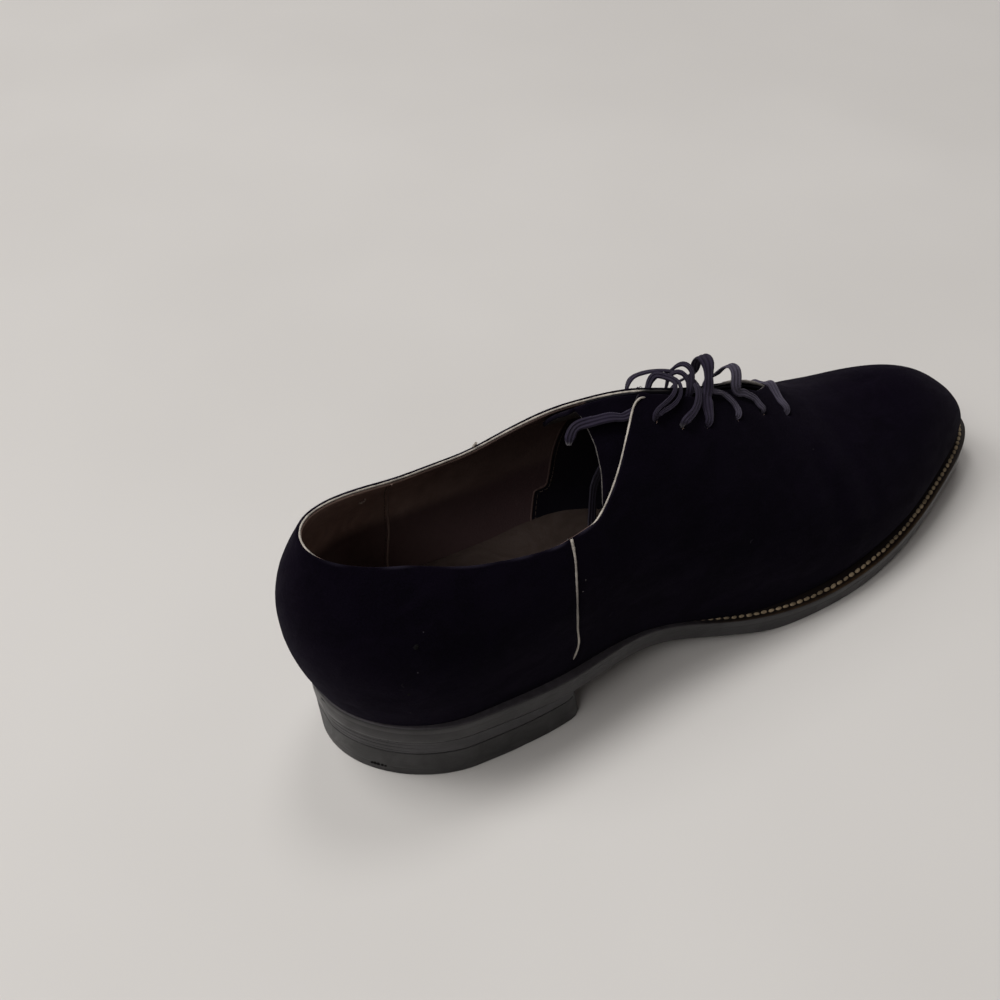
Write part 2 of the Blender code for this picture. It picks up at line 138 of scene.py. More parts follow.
# Tongue: station share, and section share of its inner and outer edge.
TONGUE_DEPTH = WALL + 0.9
TONGUE_COLUMNS = ("t", "c_in", "c_out")
TONGUE = ((0.345, 0.50, 0.42), (0.44, 0.52, 0.50), (0.56, 0.60, 0.60), (0.68, 0.74, 0.74))

# Laces: a round stand-in for the flat lace; bars at shares of the slit, each
# arched above it by so many mm; eyelets so far in from the slit's edge.
LACE_R = 1.2
LACE_LIFT = 1.0
LACE_STEP = 3.2
EYELET_IN = 8.0
LACE_BAR_COLUMNS = ("slit_share", "arch")
LACE_BARS = ((0.97, 0.6), (0.80, 5.0), (0.60, 1.5), (0.42, 8.0))
# Free laces, each a smooth curve through a few points (x, y, z): two loops
# standing over the top of the slit, one end lying back over the tongue, and
# one hanging inside, under the tongue.
CORDS = {
    "lace_loop_a": ((131.6, 8, 99.6), (136.2, 8.5, 99.8), (141.4, 7, 99.9), (147.1, 3, 99.6),
                    (150.5, -2, 98.2), (149.6, -7, 96.9), (146, -11, 94.7), (138.5, -14.3, 93.9)),
    "lace_loop_b": ((136.3, 3.6, 98.6), (138.6, 4, 101.0), (141.6, 1, 101.2), (142.8, -3, 101.0),
                    (139.9, -7, 99.9), (135.1, -9, 99.5), (128.6, -11, 99.6)),
    "lace_end_a": ((117, -6.9, 100.7), (114.2, -6.1, 101.6), (109.5, -5.3, 102.3), (103.6, -4.5, 102.8),
                   (99.9, -4.2, 102.4), (97.6, -5.0, 99.8), (96.8, -5.6, 97.4)),
    "lace_end_b": ((112, -5, 80), (112, -2.5, 72), (112.5, -0.5, 65), (112.8, 0, 56), (113, 0, 46),
                   (112.6, 1, 36), (111, 2, 30.5)),
}



# ---- interpolation ----------------------------------------------------------
def smooth(x, xs, ys):
    """Natural cubic spline through (xs, ys), read at x."""
    xs, ys = np.asarray(xs, float), np.asarray(ys, float)
    n = len(xs)
    h, s = np.diff(xs), np.diff(ys) / np.diff(xs)
    a, b = np.eye(n), np.zeros(n)
    for i in range(1, n - 1):
        a[i, i - 1:i + 2] = h[i - 1], 2 * (h[i - 1] + h[i]), h[i]
        b[i] = 6 * (s[i] - s[i - 1])
    m = np.linalg.solve(a, b)
    x = np.asarray(x, float)
    k = np.clip(np.searchsorted(xs, x) - 1, 0, n - 2)
    d, e = x - xs[k], xs[k + 1] - x
    return (m[k] * e ** 3 + m[k + 1] * d ** 3) / (6 * h[k]) \
        + (ys[k] / h[k] - m[k] * h[k] / 6) * e \
        + (ys[k + 1] / h[k] - m[k + 1] * h[k] / 6) * d


def steady(x, rows):
    """Shape-keeping cubic through rows of (x, y): it never overshoots."""
    xs, ys = np.array(rows, float).T
    h, s = np.diff(xs), np.diff(ys) / np.diff(xs)
    d = np.zeros(len(xs))
    for i in range(1, len(xs) - 1):
        if s[i - 1] * s[i] > 0:
            w1, w2 = 2 * h[i] + h[i - 1], h[i] + 2 * h[i - 1]
            d[i] = (w1 + w2) / (w1 / s[i - 1] + w2 / s[i])
    d[0], d[-1] = s[0], s[-1]
    x = np.clip(np.asarray(x, float), xs[0], xs[-1])
    k = np.clip(np.searchsorted(xs, x) - 1, 0, len(xs) - 2)
    t = (x - xs[k]) / h[k]
    return (ys[k] * (1 + 2 * t) * (1 - t) ** 2 + h[k] * d[k] * t * (1 - t) ** 2
            + ys[k + 1] * t * t * (3 - 2 * t) + h[k] * d[k + 1] * t * t * (t - 1))


SEC = dict(zip(SECTION_COLUMNS, np.array(SECTIONS, float).T))
TOP = dict(zip(TOPLINE_COLUMNS, np.array(TOPLINE, float).T))


def sec(name, x):
    return smooth(x, SEC["x"], SEC[name])


# ---- the last ---------------------------------------------------------------
def rounding(x, x0, x1):
    """Plan rounding of the ends: 0 at x0 and x1, 1 along the middle."""
    a = np.clip((x - x0) / HEEL_ROUND, 0, 1)
    b = np.clip((x1 - x) / TOE_ROUND, 0, 1)
    return np.sqrt(1 - (1 - a) ** 2) * (1 - (1 - b) ** TOE_POWER) ** (1 / TOE_POWER)


def swing(x):
    return TOE_SWING * np.clip((x - 120) / 180, 0, None) ** 2


def edge(x, side, inset=0.0):
    """Sideways place of the outsole's edge; side is 1 inner, -1 outer."""
    w = sec("w_in" if side > 0 else "w_out", x)
    return swing(x) + side * (w - inset) * rounding(x, inset, LENGTH - inset)


def seat_line(t, side, inset=0.0):
    """x, y and rounding of the upper's bottom edge at station share t."""
    i0, i1 = SEAT_INSET[0][1] + inset, SEAT_INSET[-1][1] + inset
    x = i0 + np.asarray(t, float) * (LENGTH - i0 - i1)
    r = rounding(x, i0, LENGTH - i1)
    w = sec("w_in" if side > 0 else "w_out", x) - steady(x, SEAT_INSET) - inset
    return x, swing(x) + side * w * r, r


def last_section(t, side):
    """The section's own sizes at station share t."""
    x, y, r = seat_line(t, side)
    seat = sec("seat", x)
    toe = np.clip((LENGTH - SEAT_INSET[-1][1] - x) / TOE_BOX, 0, 1)
    box = (1 - (1 - toe) ** TOE_BOX_POWER) ** (1 / TOE_BOX_POWER)
    height = np.maximum((sec("ridge", x) - seat) * box, 1e-6)
    wide, most = sec("wide", x), 0.6 * height
    wide = wide * most / (wide ** 3 + most ** 3) ** (1 / 3)
    foot = side * (y - swing(x))
    full = foot + sec("over_in" if side > 0 else "over_out", x) * r
    ridge = sec("ridge_y", x) * r * side
    return x, seat, height, wide, foot, full, ridge, sec("crown", x)


def last(t, c, side):
    """Outside of the upper. c runs -1 at the seat line, 0 widest, 1 ridge."""
    t, c = np.asarray(t, float), np.asarray(c, float)
    x, seat, height, wide, foot, full, ridge, crown = last_section(t, side)
    u = np.sin(np.clip(c, 0, 1) * math.pi / 2)
    y = np.where(c >= 0, ridge + (full - ridge) * np.clip(1 - u * u, 0, 1) ** crown,
                 full - (full - foot) * c ** 2)
    z = np.where(c >= 0, seat + wide + (height - wide) * u, seat + wide + c * wide)
    b0, b1, b2 = BACK_SHIFT
    z0, (z1, z2) = sec("seat", SEAT_INSET[0][1]), BACK_HEIGHT
    back = np.where(z < z1, b1 + (b0 - b1) * np.clip((z1 - z) / (z1 - z0), 0, 1.5) ** 2,
                    b1 + (b2 - b1) * ((z - z1) / (z2 - z1)) ** 2)
    x = x + (back - b0) * np.clip(1 - t / 0.3, 0, 1) ** 2
    return np.stack([x, swing(seat_line(t, side)[0]) + side * y, z], -1)


def inside(t, c, side, depth):
    """The point at depth under the upper's outside, along its normal."""
    t, c = np.asarray(t, float), np.asarray(c, float)
    e = 0.004
    dt = last(np.clip(t + e, 0, 0.999), c, side) - last(np.clip(t - e, 0, 0.999), c, side)
    dc = last(t, np.clip(c + e, -1, 0.999), side) - last(t, np.clip(c - e, -1, 0.999), side)
    n = np.cross(dt, dc) * -side
    n /= np.maximum(np.linalg.norm(n, axis=-1, keepdims=True), 1e-9)
    return last(t, c, side) - n * depth


def slit_share(q, side):
    """Station share and section share of the slit's edge at share q."""
    t = THROAT_T + (VAMP_T - THROAT_T) * np.asarray(q, float)
    full, ridge, crown = last_section(t, side)[5:]
    gap = np.maximum(steady(q, SLIT), 1e-6)
    u = np.sqrt(1 - (gap / (full - ridge)) ** (1 / crown))
    return t, np.where(np.asarray(q) >= 1, 1.0, 2 / math.pi * np.arcsin(u))


def topline_share(k, side):
    """Station share and section share along the topline."""
    t9, c9 = slit_share(0.0, side)
    which = "out" if side < 0 else "in"
    ts = list(zip(TOP["share"], TOP["t_" + which])) + [(1.0, float(t9))]
    cs = list(zip(TOP["share"], TOP["c_" + which])) + [(1.0, float(c9))]
    return steady(k, ts), steady(k, cs)



def seat_z(x):
    return sec("seat", x)


def sole_top(x):
    return seat_z(x) - WELT_T - GAP


def tread_z(x):
    return steady(x, TREAD)


def off_slit(q, side, reach, lift):
    """Point over the facing, reach mm from the slit's edge, lift mm above it."""
    t, c0 = slit_share(q, side)
    c = np.linspace(float(c0), 0.2, 60)
    p = last(np.full_like(c, t), c, side)
    run = np.concatenate([[0], np.cumsum(np.linalg.norm(np.diff(p, axis=0), axis=1))])
    return inside(float(t), float(np.interp(reach, run, c)), side, -lift)


def curve_through(keys, step):
    """Evenly spaced points on a smooth curve through the key points."""
    keys = np.asarray(keys, float)
    run = np.concatenate([[0], np.cumsum(np.linalg.norm(np.diff(keys, axis=0), axis=1))])
    fine = np.linspace(0, run[-1], 40 * len(keys))
    p = np.stack([smooth(fine, run, keys[:, i]) for i in range(3)], -1)
    arc = np.concatenate([[0], np.cumsum(np.linalg.norm(np.diff(p, axis=0), axis=1))])
    even = np.linspace(0, arc[-1], max(4, round(arc[-1] / step) + 1))
    return np.stack([np.interp(even, arc, p[:, i]) for i in range(3)], -1)


# ---- mesh helpers -----------------------------------------------------------
ROOT = "root"


def place(points):
    """Shoe millimetres to world metres."""
    return (np.asarray(points, float) - (ORIGIN_X, ORIGIN_Y, 0.0)) * MM


def unit(v):
    return v / np.maximum(np.linalg.norm(v, axis=-1, keepdims=True), 1e-9)


def hash01(n, seed):
    """n repeatable numbers from 0 to 1."""
    return np.random.default_rng(seed).random(n)


def piece(name, points, faces, mats, index=None, angle=45, weld=None, layers=None, ride=True):
    """Mesh object from shoe millimetres, riding on the part."""
    mesh = bpy.data.meshes.new(name)
    mesh.from_pydata(place(points).tolist(), [], [tuple(int(i) for i in f) for f in faces])
    for m in mats:
        mesh.materials.append(m)
    if index is not None:
        mesh.polygons.foreach_set("material_index", np.asarray(index, dtype=np.int32))
    for key, values in (layers or {}).items():
        layer = mesh.attributes.new(key, "FLOAT", "POINT")
        layer.data.foreach_set("value", np.asarray(values, dtype=np.float32))
    bm = bmesh.new()
    bm.from_mesh(mesh)
    if weld:
        bmesh.ops.remove_doubles(bm, verts=bm.verts, dist=weld * MM)
        bmesh.ops.dissolve_degenerate(bm, edges=bm.edges, dist=weld * MM * 0.5)
    bmesh.ops.recalc_face_normals(bm, faces=bm.faces)
    bm.to_mesh(mesh)
    bm.free()
    mesh.shade_smooth()
    mesh.set_sharp_from_angle(angle=math.radians(angle))
    obj = bpy.data.objects.new(name, mesh)
    bpy.context.scene.collection.objects.link(obj)
    if ride:
        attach(obj, ROOT)
    return obj


def quads(n, m, base=0, around=False):
    """Faces of an n by m grid of points, joined end to end across m if around."""
    i, j = np.meshgrid(np.arange(n - 1), np.arange(m if around else m - 1), indexing="ij")
    a, b = base + i * m + j, base + i * m + (j + 1) % m
    return np.stack([a, a + m, b + m, b], -1).reshape(-1, 4)


def grid_normals(g, side=1):
    """Unit normals of a grid of points, pointing out of the shoe."""
    di = np.gradient(g, axis=0)
    dj = np.gradient(g, axis=1)
    return unit(np.cross(di, dj) * -side)


def tube(path, radius, sides=10, squash=1.0, up=None):
    """Rings of points round a path: (n, sides, 3), with the frame carried along."""
    path = np.asarray(path, float)
    radius = np.broadcast_to(radius, len(path))
    t = unit(np.gradient(path, axis=0))
    ref = np.array([0, 0, 1.0]) if up is None else np.asarray(up, float)
    if ref.ndim == 1:
        ref = np.broadcast_to(ref, path.shape)
    s = unit(np.cross(ref, t))
    u = np.cross(t, s)
    a = np.linspace(0, 2 * math.pi, sides, endpoint=False)
    return path[:, None] + radius[:, None, None] * (
        np.cos(a)[None, :, None] * s[:, None] + squash * np.sin(a)[None, :, None] * u[:, None])


def tube_mesh(rings):
    """Points and faces of a capped tube."""
    n, m = rings.shape[:2]
    faces = [tuple(f) for f in quads(n, m, around=True)]
    faces += [tuple(range(m))[::-1], tuple(range((n - 1) * m, n * m))]
    return rings.reshape(-1, 3), faces


def gather(parts):
    """Several (points, faces) as one."""
    points, faces, base = [], [], 0
    for p, f in parts:
        points.append(np.asarray(p, float).reshape(-1, 3))
        faces += [tuple(int(i) + base for i in g) for g in f]
        base += len(points[-1])
    return np.concatenate(points), faces


def soft(d, width):
    """1 at d = 0, falling smoothly to 0 about width away."""
    return np.exp(-(np.asarray(d, float) / width) ** 2)


def near_line(p, keys):
    """Distance of each point from a line through the keys, and its share along."""
    keys = np.asarray(keys, float)
    best = np.full(p.shape[:-1], 1e9)
    share = np.zeros(p.shape[:-1])
    run = np.concatenate([[0], np.cumsum(np.linalg.norm(np.diff(keys, axis=0), axis=1))])
    for a, b, r0, r1 in zip(keys[:-1], keys[1:], run[:-1], run[1:]):
        s = np.clip(((p - a) @ (b - a)) / ((b - a) @ (b - a)), 0, 1)
        d = np.linalg.norm(p - (a + s[..., None] * (b - a)), axis=-1)
        share = np.where(d < best, (r0 + s * (r1 - r0)) / run[-1], share)
        best = np.minimum(best, d)
    return best, share


def ripple(p, scale, seed):
    """Smooth repeatable waviness from -1 to 1 over about scale mm."""
    g = np.random.default_rng(seed)
    out = 0
    for _ in range(7):
        k = unit(g.normal(size=3)) * 2 * math.pi / (scale * g.uniform(0.7, 1.6))
        out = out + np.sin(p @ k + g.uniform(0, 6.28))
    return out / 4.5


def join_pieces(name, parts, mats, index, angle=45, weld=None):
    points, faces = gather(parts)
    return piece(name, points, faces, mats, index, angle, weld)


# ---- camera -----------------------------------------------------------------
LOOK_AT = (73.72, 0.0, 79.85)     # shoe millimetres
AZIMUTH, ELEVATION, ROLL = -32.27, 45.46, -0.39
DISTANCE, LENS = 401.6, 43.7


def set_camera():
    a, e, r = (math.radians(v) for v in (AZIMUTH, ELEVATION, ROLL))
    back = np.array([math.sin(a) * math.cos(e), -math.cos(a) * math.cos(e), math.sin(e)])
    right = unit(np.cross(-back, (0, 0, 1.0)))
    up = np.cross(right, -back)
    r2 = math.cos(r) * right + math.sin(r) * up
    u2 = -math.sin(r) * right + math.cos(r) * up
    data = bpy.data.cameras.new("camera")
    data.sensor_width = 36.0
    data.lens = LENS
    data.clip_start = 0.01
    data.clip_end = 50
    cam = bpy.data.objects.new("camera", data)
    m = np.eye(4)
    m[:3, 0], m[:3, 1], m[:3, 2] = r2, u2, back
    m[:3, 3] = place(LOOK_AT) + DISTANCE * MM * back
    cam.matrix_world = Matrix(m.tolist())
    bpy.context.scene.collection.objects.link(cam)
    bpy.context.scene.camera = cam


# ---- materials --------------------------------------------------------------
class Paint:
    """One Principled material, built up node by node."""

    def __init__(self, name, colour, rough, spec=0.5, **plain):
        self.mat = bpy.data.materials.new(name)
        self.mat.use_nodes = True
        self.tree = self.mat.node_tree
        self.bsdf = self.tree.nodes["Principled BSDF"]
        self.set(self.bsdf, "Base Color", (*colour, 1))
        self.set(self.bsdf, "Roughness", rough)
        self.set(self.bsdf, "Specular IOR Level", spec)
        for key, value in plain.items():
            self.set(self.bsdf, key.replace("_", " ").title().replace("Ior", "IOR"), value)
        self.mat.diffuse_color = (*colour, 1)
        self.where = self.node("ShaderNodeTexCoord").outputs["Object"]

    def node(self, kind, **props):
        n = self.tree.nodes.new("ShaderNode" + kind if not kind.startswith("ShaderNode") else kind)
        for key, value in props.items():
            setattr(n, key, value)
        return n

    def set(self, node, key, value):
        if isinstance(value, bpy.types.NodeSocket):
            self.tree.links.new(value, node.inputs[key])
        else:
            node.inputs[key].default_value = value

    def stretched(self, scale, turn=(0, 0, 0)):
        n = self.node("Mapping")
        self.set(n, "Vector", self.where)
        self.set(n, "Scale", scale)
        self.set(n, "Rotation", turn)
        return n.outputs[0]

    def noise(self, size, detail=3, rough=0.55, warp=0.0, where=None):
        """Noise from 0 to 1 with features about size mm."""
        n = self.node("TexNoise")
        self.set(n, "Vector", where or self.where)
        self.set(n, "Scale", 1000.0 / size)
        self.set(n, "Detail", detail)
        self.set(n, "Roughness", rough)
        self.set(n, "Distortion", warp)
        return n.outputs["Fac"]

    def cells(self, size, feature="F1", where=None):
        n = self.node("TexVoronoi", feature=feature)
        self.set(n, "Vector", where or self.where)
        self.set(n, "Scale", 1000.0 / size)
        return n.outputs["Distance"]

    def span(self, value, a, b, lo=0.0, hi=1.0, kind="SMOOTHSTEP"):
        n = self.node("MapRange", interpolation_type=kind)
        for key, v in zip(("Value", "From Min", "From Max", "To Min", "To Max"),
                          (value, a, b, lo, hi)):
            self.set(n, key, v)
        return n.outputs[0]

    def math(self, what, a, b=0.0):
        n = self.node("Math", operation=what)
        self.set(n, 0, a)
        self.set(n, 1, b)
        return n.outputs[0]

    def attr(self, name):
        n = self.node("Attribute", attribute_name=name)
        return n.outputs["Fac"]

    def mix(self, fac, a, b, blend="MIX"):
        n = self.node("Mix", data_type="RGBA", blend_type=blend)
        self.set(n, 0, fac)
        for i, v in ((6, a), (7, b)):
            self.set(n, i, v if isinstance(v, bpy.types.NodeSocket) else (*v, 1))
        return n.outputs[2]

    def colour(self, value):
        self.set(self.bsdf, "Base Color", value)
        return self

    def rough(self, value):
        self.set(self.bsdf, "Roughness", value)
        return self

    def bump(self, *layers):
        """Layers of (height 0..1, depth in mm, strength)."""
        normal = None
        for height, depth, strength in layers:
            n = self.node("Bump")
            self.set(n, "Strength", strength)
            self.set(n, "Distance", depth * MM)
            self.set(n, "Height", height)
            if normal is not None:
                self.set(n, "Normal", normal)
            normal = n.outputs[0]
        self.set(self.bsdf, "Normal", normal)
        return self


def scaled(colour, k):
    return tuple(c * k for c in colour)


def suede_paint(name="midnight_suede", base=(0.00195, 0.0012, 0.0033), k=1.0):
    p = Paint(name, base, 0.95, spec=0.02, sheen_weight=0.029, sheen_roughness=0.5,
              sheen_tint=(0.62, 0.55, 0.80, 1))
    patches = p.noise(17, 3, 0.6, 0.8)
    brushed = p.noise(5.5, 3, 0.6, 0.5, p.stretched((0.35, 1, 0.8), (0, 0.2, 0.15)))
    fibre = p.noise(0.55, 3, 0.7)
    tone = p.mix(p.span(patches, 0.34, 0.66), scaled(base, 0.72 * k), scaled(base, 1.30 * k))
    tone = p.mix(p.span(brushed, 0.50, 0.74, 0, 0.55), tone, scaled(base, 1.9 * k))
    tone = p.mix(p.span(fibre, 0.30, 0.72, 0, 0.5), tone, scaled(base, 2.3 * k))
    # Painted highlight: the suede is lighter along its top edge, where the attribute rim is set.
    tone = p.mix(p.span(p.attr("rim"), 0.1, 1.0, 0, 0.85), tone, (0.024, 0.021, 0.033))
    p.colour(tone)
    p.rough(p.span(brushed, 0.35, 0.7, 1.0, 0.82))
    p.bump((patches, 0.8, 0.35), (brushed, 0.35, 0.5), (fibre, 0.22, 0.75))
    return p.mat


def lining_paint():
    p = Paint("brown_lining_leather", (0.055, 0.034, 0.028), 0.62, spec=0.25)
    stain = p.noise(22, 4, 0.62, 1.0)
    wear = p.noise(6, 4, 0.6, 0.4, p.stretched((1, 1, 0.5)))
    grain = p.cells(0.9)
    pores = p.noise(0.7, 3, 0.6)
    tone = p.mix(p.span(stain, 0.32, 0.70), (0.40, 0.275, 0.225), (0.56, 0.40, 0.335))
    tone = p.mix(p.span(wear, 0.52, 0.74, 0, 0.5), tone, (0.66, 0.50, 0.42))
    # Partly the lining's own tone, partly painted shade: darker toward the front (fore) and toward the bottom (low).
    tone = p.mix(p.span(p.attr("fore"), 0, 1, 0, 0.86), tone, (0.060, 0.036, 0.034))
    tone = p.mix(p.span(p.attr("low"), 0, 1, 0, 0.82), tone, (0.066, 0.038, 0.042))
    # Beyond the quarter lining's front edge (vamp): the vamp lining's darker tone together with painted shade deep in
    # the shoe.
    tone = p.mix(p.span(p.attr("vamp"), 0, 1, 0, 0.99), tone, (0.004, 0.003, 0.008))
    tone = p.mix(p.span(p.attr("mark"), 0.2, 0.8, 0, 0.9), tone, (0.85, 0.76, 0.66))
    p.colour(tone)
    p.rough(p.span(stain, 0.3, 0.7, 0.72, 0.52))
    p.bump((wear, 0.5, 0.35), (grain, 0.12, 0.45), (pores, 0.10, 0.4))
    return p.mat


def sock_paint():
    p = Paint("grey_brown_sock_leather", (0.13, 0.10, 0.09), 0.6, spec=0.3)
    stain = p.noise(19, 4, 0.65, 1.2)
    rub = p.noise(4, 4, 0.6)
    grain = p.cells(0.8)
    tone = p.mix(p.span(stain, 0.30, 0.70), (0.078, 0.055, 0.046), (0.118, 0.087, 0.075))
    tone = p.mix(p.span(rub, 0.55, 0.75, 0, 0.5), tone, (0.060, 0.042, 0.037))
    p.colour(tone)
    p.rough(p.span(rub, 0.3, 0.7, 0.68, 0.5))
    p.bump((rub, 0.3, 0.3), (grain, 0.1, 0.45))
    return p.mat


def piping_paint():
    p = Paint("ecru_piping", (0.42, 0.37, 0.31), 0.8, spec=0.2, sheen_weight=0.15)
    darkening = p.noise(7, 4, 0.65, 0.5)
    weave = p.noise(0.45, 2, 0.5, 0, p.stretched((1, 1, 1)))
    tone = p.mix(p.span(darkening, 0.36, 0.68), (0.46, 0.42, 0.37), (0.20, 0.18, 0.16))
    tone = p.mix(p.span(weave, 0.35, 0.7, 0, 0.45), tone, (0.62, 0.57, 0.50))
    # Darkened nearly to the suede's colour where the attribute says, so the cord hardly shows there.
    tone = p.mix(p.span(p.attr("darkened"), 0, 1, 0, 0.94), tone, (0.020, 0.017, 0.024))
    p.colour(tone)
    p.bump((weave, 0.14, 0.6))
    return p.mat


def sole_paint(name, base, rough, streak=1.0):
    """Inked and burnished leather edge with fine lengthwise streaks."""
    p = Paint(name, base, rough, spec=0.36, coat_weight=0.08, coat_roughness=0.25)
    lines = p.noise(14, 4, 0.65, 0.2, p.stretched((1, 1, 26)))
    fine = p.noise(5, 3, 0.6, 0.1, p.stretched((1, 1, 30)))
    blot = p.noise(11, 4, 0.6, 0.8)
    dust = p.noise(0.8, 3, 0.75)
    scuff = p.noise(2.6, 4, 0.7, 1.0, p.stretched((0.5, 0.5, 1.6)))
    tone = p.mix(p.span(blot, 0.3, 0.7), scaled(base, 0.75), scaled(base, 1.25))
    tone = p.mix(p.span(lines, 0.46, 0.68, 0, 0.6 * streak), tone, scaled(base, 2.1))
    tone = p.mix(p.span(fine, 0.54, 0.70, 0, 0.35 * streak), tone, scaled(base, 0.35))
    tone = p.mix(p.span(dust, 0.60, 0.78, 0, 0.32), tone, (0.085, 0.078, 0.075))
    tone = p.mix(p.span(scuff, 0.66, 0.76, 0, 0.5), tone, (0.070, 0.060, 0.056))
    p.colour(tone)
    p.rough(p.span(blot, 0.3, 0.7, rough + 0.08, rough - 0.06))
    p.bump((lines, 0.25, 0.28 * streak), (fine, 0.10, 0.3 * streak), (scuff, 0.12, 0.25), (dust, 0.05, 0.3))
    return p.mat


def tread_paint():
    p = Paint("worn_black_tread", (0.020, 0.018, 0.017), 0.6, spec=0.35)
    scrape = p.noise(6, 5, 0.7, 0.6, p.stretched((0.3, 1, 1), (0, 0, 0.25)))
    pores = p.cells(0.9)
    tone = p.mix(p.span(scrape, 0.45, 0.68), (0.016, 0.014, 0.013), (0.060, 0.050, 0.043))
    p.colour(tone)
    p.bump((scrape, 0.2, 0.4), (pores, 0.1, 0.4))
    return p.mat


def welt_paint():
    """Welt top: black, stained to dark gold beside the stitches in the forepart."""
    p = Paint("stained_welt_leather", (0.03, 0.02, 0.012), 0.5, spec=0.35)
    blot = p.noise(3.2, 4, 0.65, 0.6)
    fine = p.noise(0.7, 3, 0.6)
    black = p.mix(p.span(blot, 0.3, 0.7), (0.006, 0.005, 0.005), (0.014, 0.012, 0.012))
    gold = p.mix(p.span(blot, 0.32, 0.66), (0.017, 0.0075, 0.0035), (0.042, 0.022, 0.0075))
    gold = p.mix(p.span(fine, 0.45, 0.7, 0, 0.5), gold, (0.070, 0.043, 0.018))
    black = p.mix(p.span(p.attr("forepart"), 0, 1, 0, 0.8), black, (0.0075, 0.0038, 0.0028))
    # Painted light: toward the heel the welt top is a lighter grey, making up for the shade under the suede's
    # overhang.
    grey = p.mix(p.span(blot, 0.3, 0.7), (0.0270, 0.0240, 0.0280), (0.0440, 0.0390, 0.0455))
    black = p.mix(p.span(p.attr("forepart"), 0.0, 0.34), grey, black)
    p.colour(p.mix(p.span(p.attr("gold"), 0.05, 0.95), black, gold))
    p.bump((blot, 0.2, 0.35), (fine, 0.08, 0.5))
    return p.mat


def thread_paint(name="waxed_linen_thread", base=(0.34, 0.265, 0.17)):
    p = Paint(name, base, 0.62, spec=0.3)
    twist = p.noise(0.35, 2, 0.5, 0, p.stretched((1, 2.2, 1), (0, 0, 0.7)))
    darkening = p.noise(9, 3, 0.6, 0.6)
    each = p.noise(2.6, 2, 0.5)
    tone = p.mix(p.span(darkening, 0.34, 0.68), scaled(base, 1.25), scaled(base, 0.55))
    tone = p.mix(p.span(each, 0.42, 0.64, 0, 0.6), tone, scaled(base, 1.45))
    tone = p.mix(p.span(p.attr("fade"), 0, 1, 0, 0.97), tone, (0.010, 0.008, 0.008))
    p.colour(tone)
    p.bump((twist, 0.12, 0.6))
    return p.mat


def lace_paint(name="plum_grey_lace", base=(0.0112, 0.0083, 0.0180), k=1.0):
    """Flat woven lace: fine lengthwise ribs crossed by the weft."""
    p = Paint(name, base, 0.72, spec=0.2, sheen_weight=0.10, sheen_roughness=0.4,
              sheen_tint=(0.85, 0.80, 1.0, 1))
    across, along = p.attr("across"), p.attr("along")
    rib = p.math("COSINE", p.math("MULTIPLY", across, 3 * math.pi))
    weft = p.math("SINE", p.math("MULTIPLY", along, 10.5))
    pick = p.math("MULTIPLY", rib, weft)
    fuzz = p.noise(0.5, 3, 0.7)
    patch = p.noise(5.0, 3, 0.6, 0.4)
    tone = p.mix(p.span(patch, 0.34, 0.66), scaled(base, 0.72 * k), scaled(base, 1.30 * k))
    tone = p.mix(p.span(rib, -0.4, 0.9, 0, 0.55), tone, scaled(base, 2.1 * k))
    tone = p.mix(p.span(pick, 0.0, 1.0, 0, 0.30), tone, scaled(base, 2.6 * k))
    tone = p.mix(p.span(fuzz, 0.52, 0.76, 0, 0.45), tone, scaled(base, 3.0 * k))
    tone = p.mix(p.span(p.attr("frayed"), 0.1, 1, 0, 0.75), tone, (0.16, 0.15, 0.16))
    p.colour(tone)
    p.bump((rib, 0.16, 0.6), (pick, 0.05, 0.4), (fuzz, 0.06, 0.5))
    return p.mat


def lint_paint(name, base):
    p = Paint(name, base, 0.9, spec=0.15)
    fuzz = p.noise(0.3, 2, 0.6)
    p.colour(p.mix(p.span(fuzz, 0.3, 0.7), scaled(base, 0.6), scaled(base, 1.4)))
    p.bump((fuzz, 0.05, 0.5))
    return p.mat


def floor_paint():
    p = Paint("pale_table", (0.62, 0.605, 0.585), 0.5, spec=0.22)
    cloud = p.noise(260, 3, 0.5)
    grain = p.noise(1.6, 3, 0.6)
    p.colour(p.mix(p.span(cloud, 0.3, 0.7), (0.605, 0.590, 0.570), (0.640, 0.625, 0.605)))
    p.rough(p.span(grain, 0.3, 0.7, 0.47, 0.54))
    p.bump((grain, 0.02, 0.15))
    return p.mat


# ---- laces ------------------------------------------------------------------
LACE_W, LACE_THICK = 3.6, 0.8
RIBS = 3


def axis_normals(path):
    """Outward directions of a lace lying over the instep."""
    top = np.interp(path[:, 0], SEC["x"], SEC["ridge"]) - 34
    return np.stack([np.zeros(len(path)), path[:, 1], path[:, 2] - top], -1)


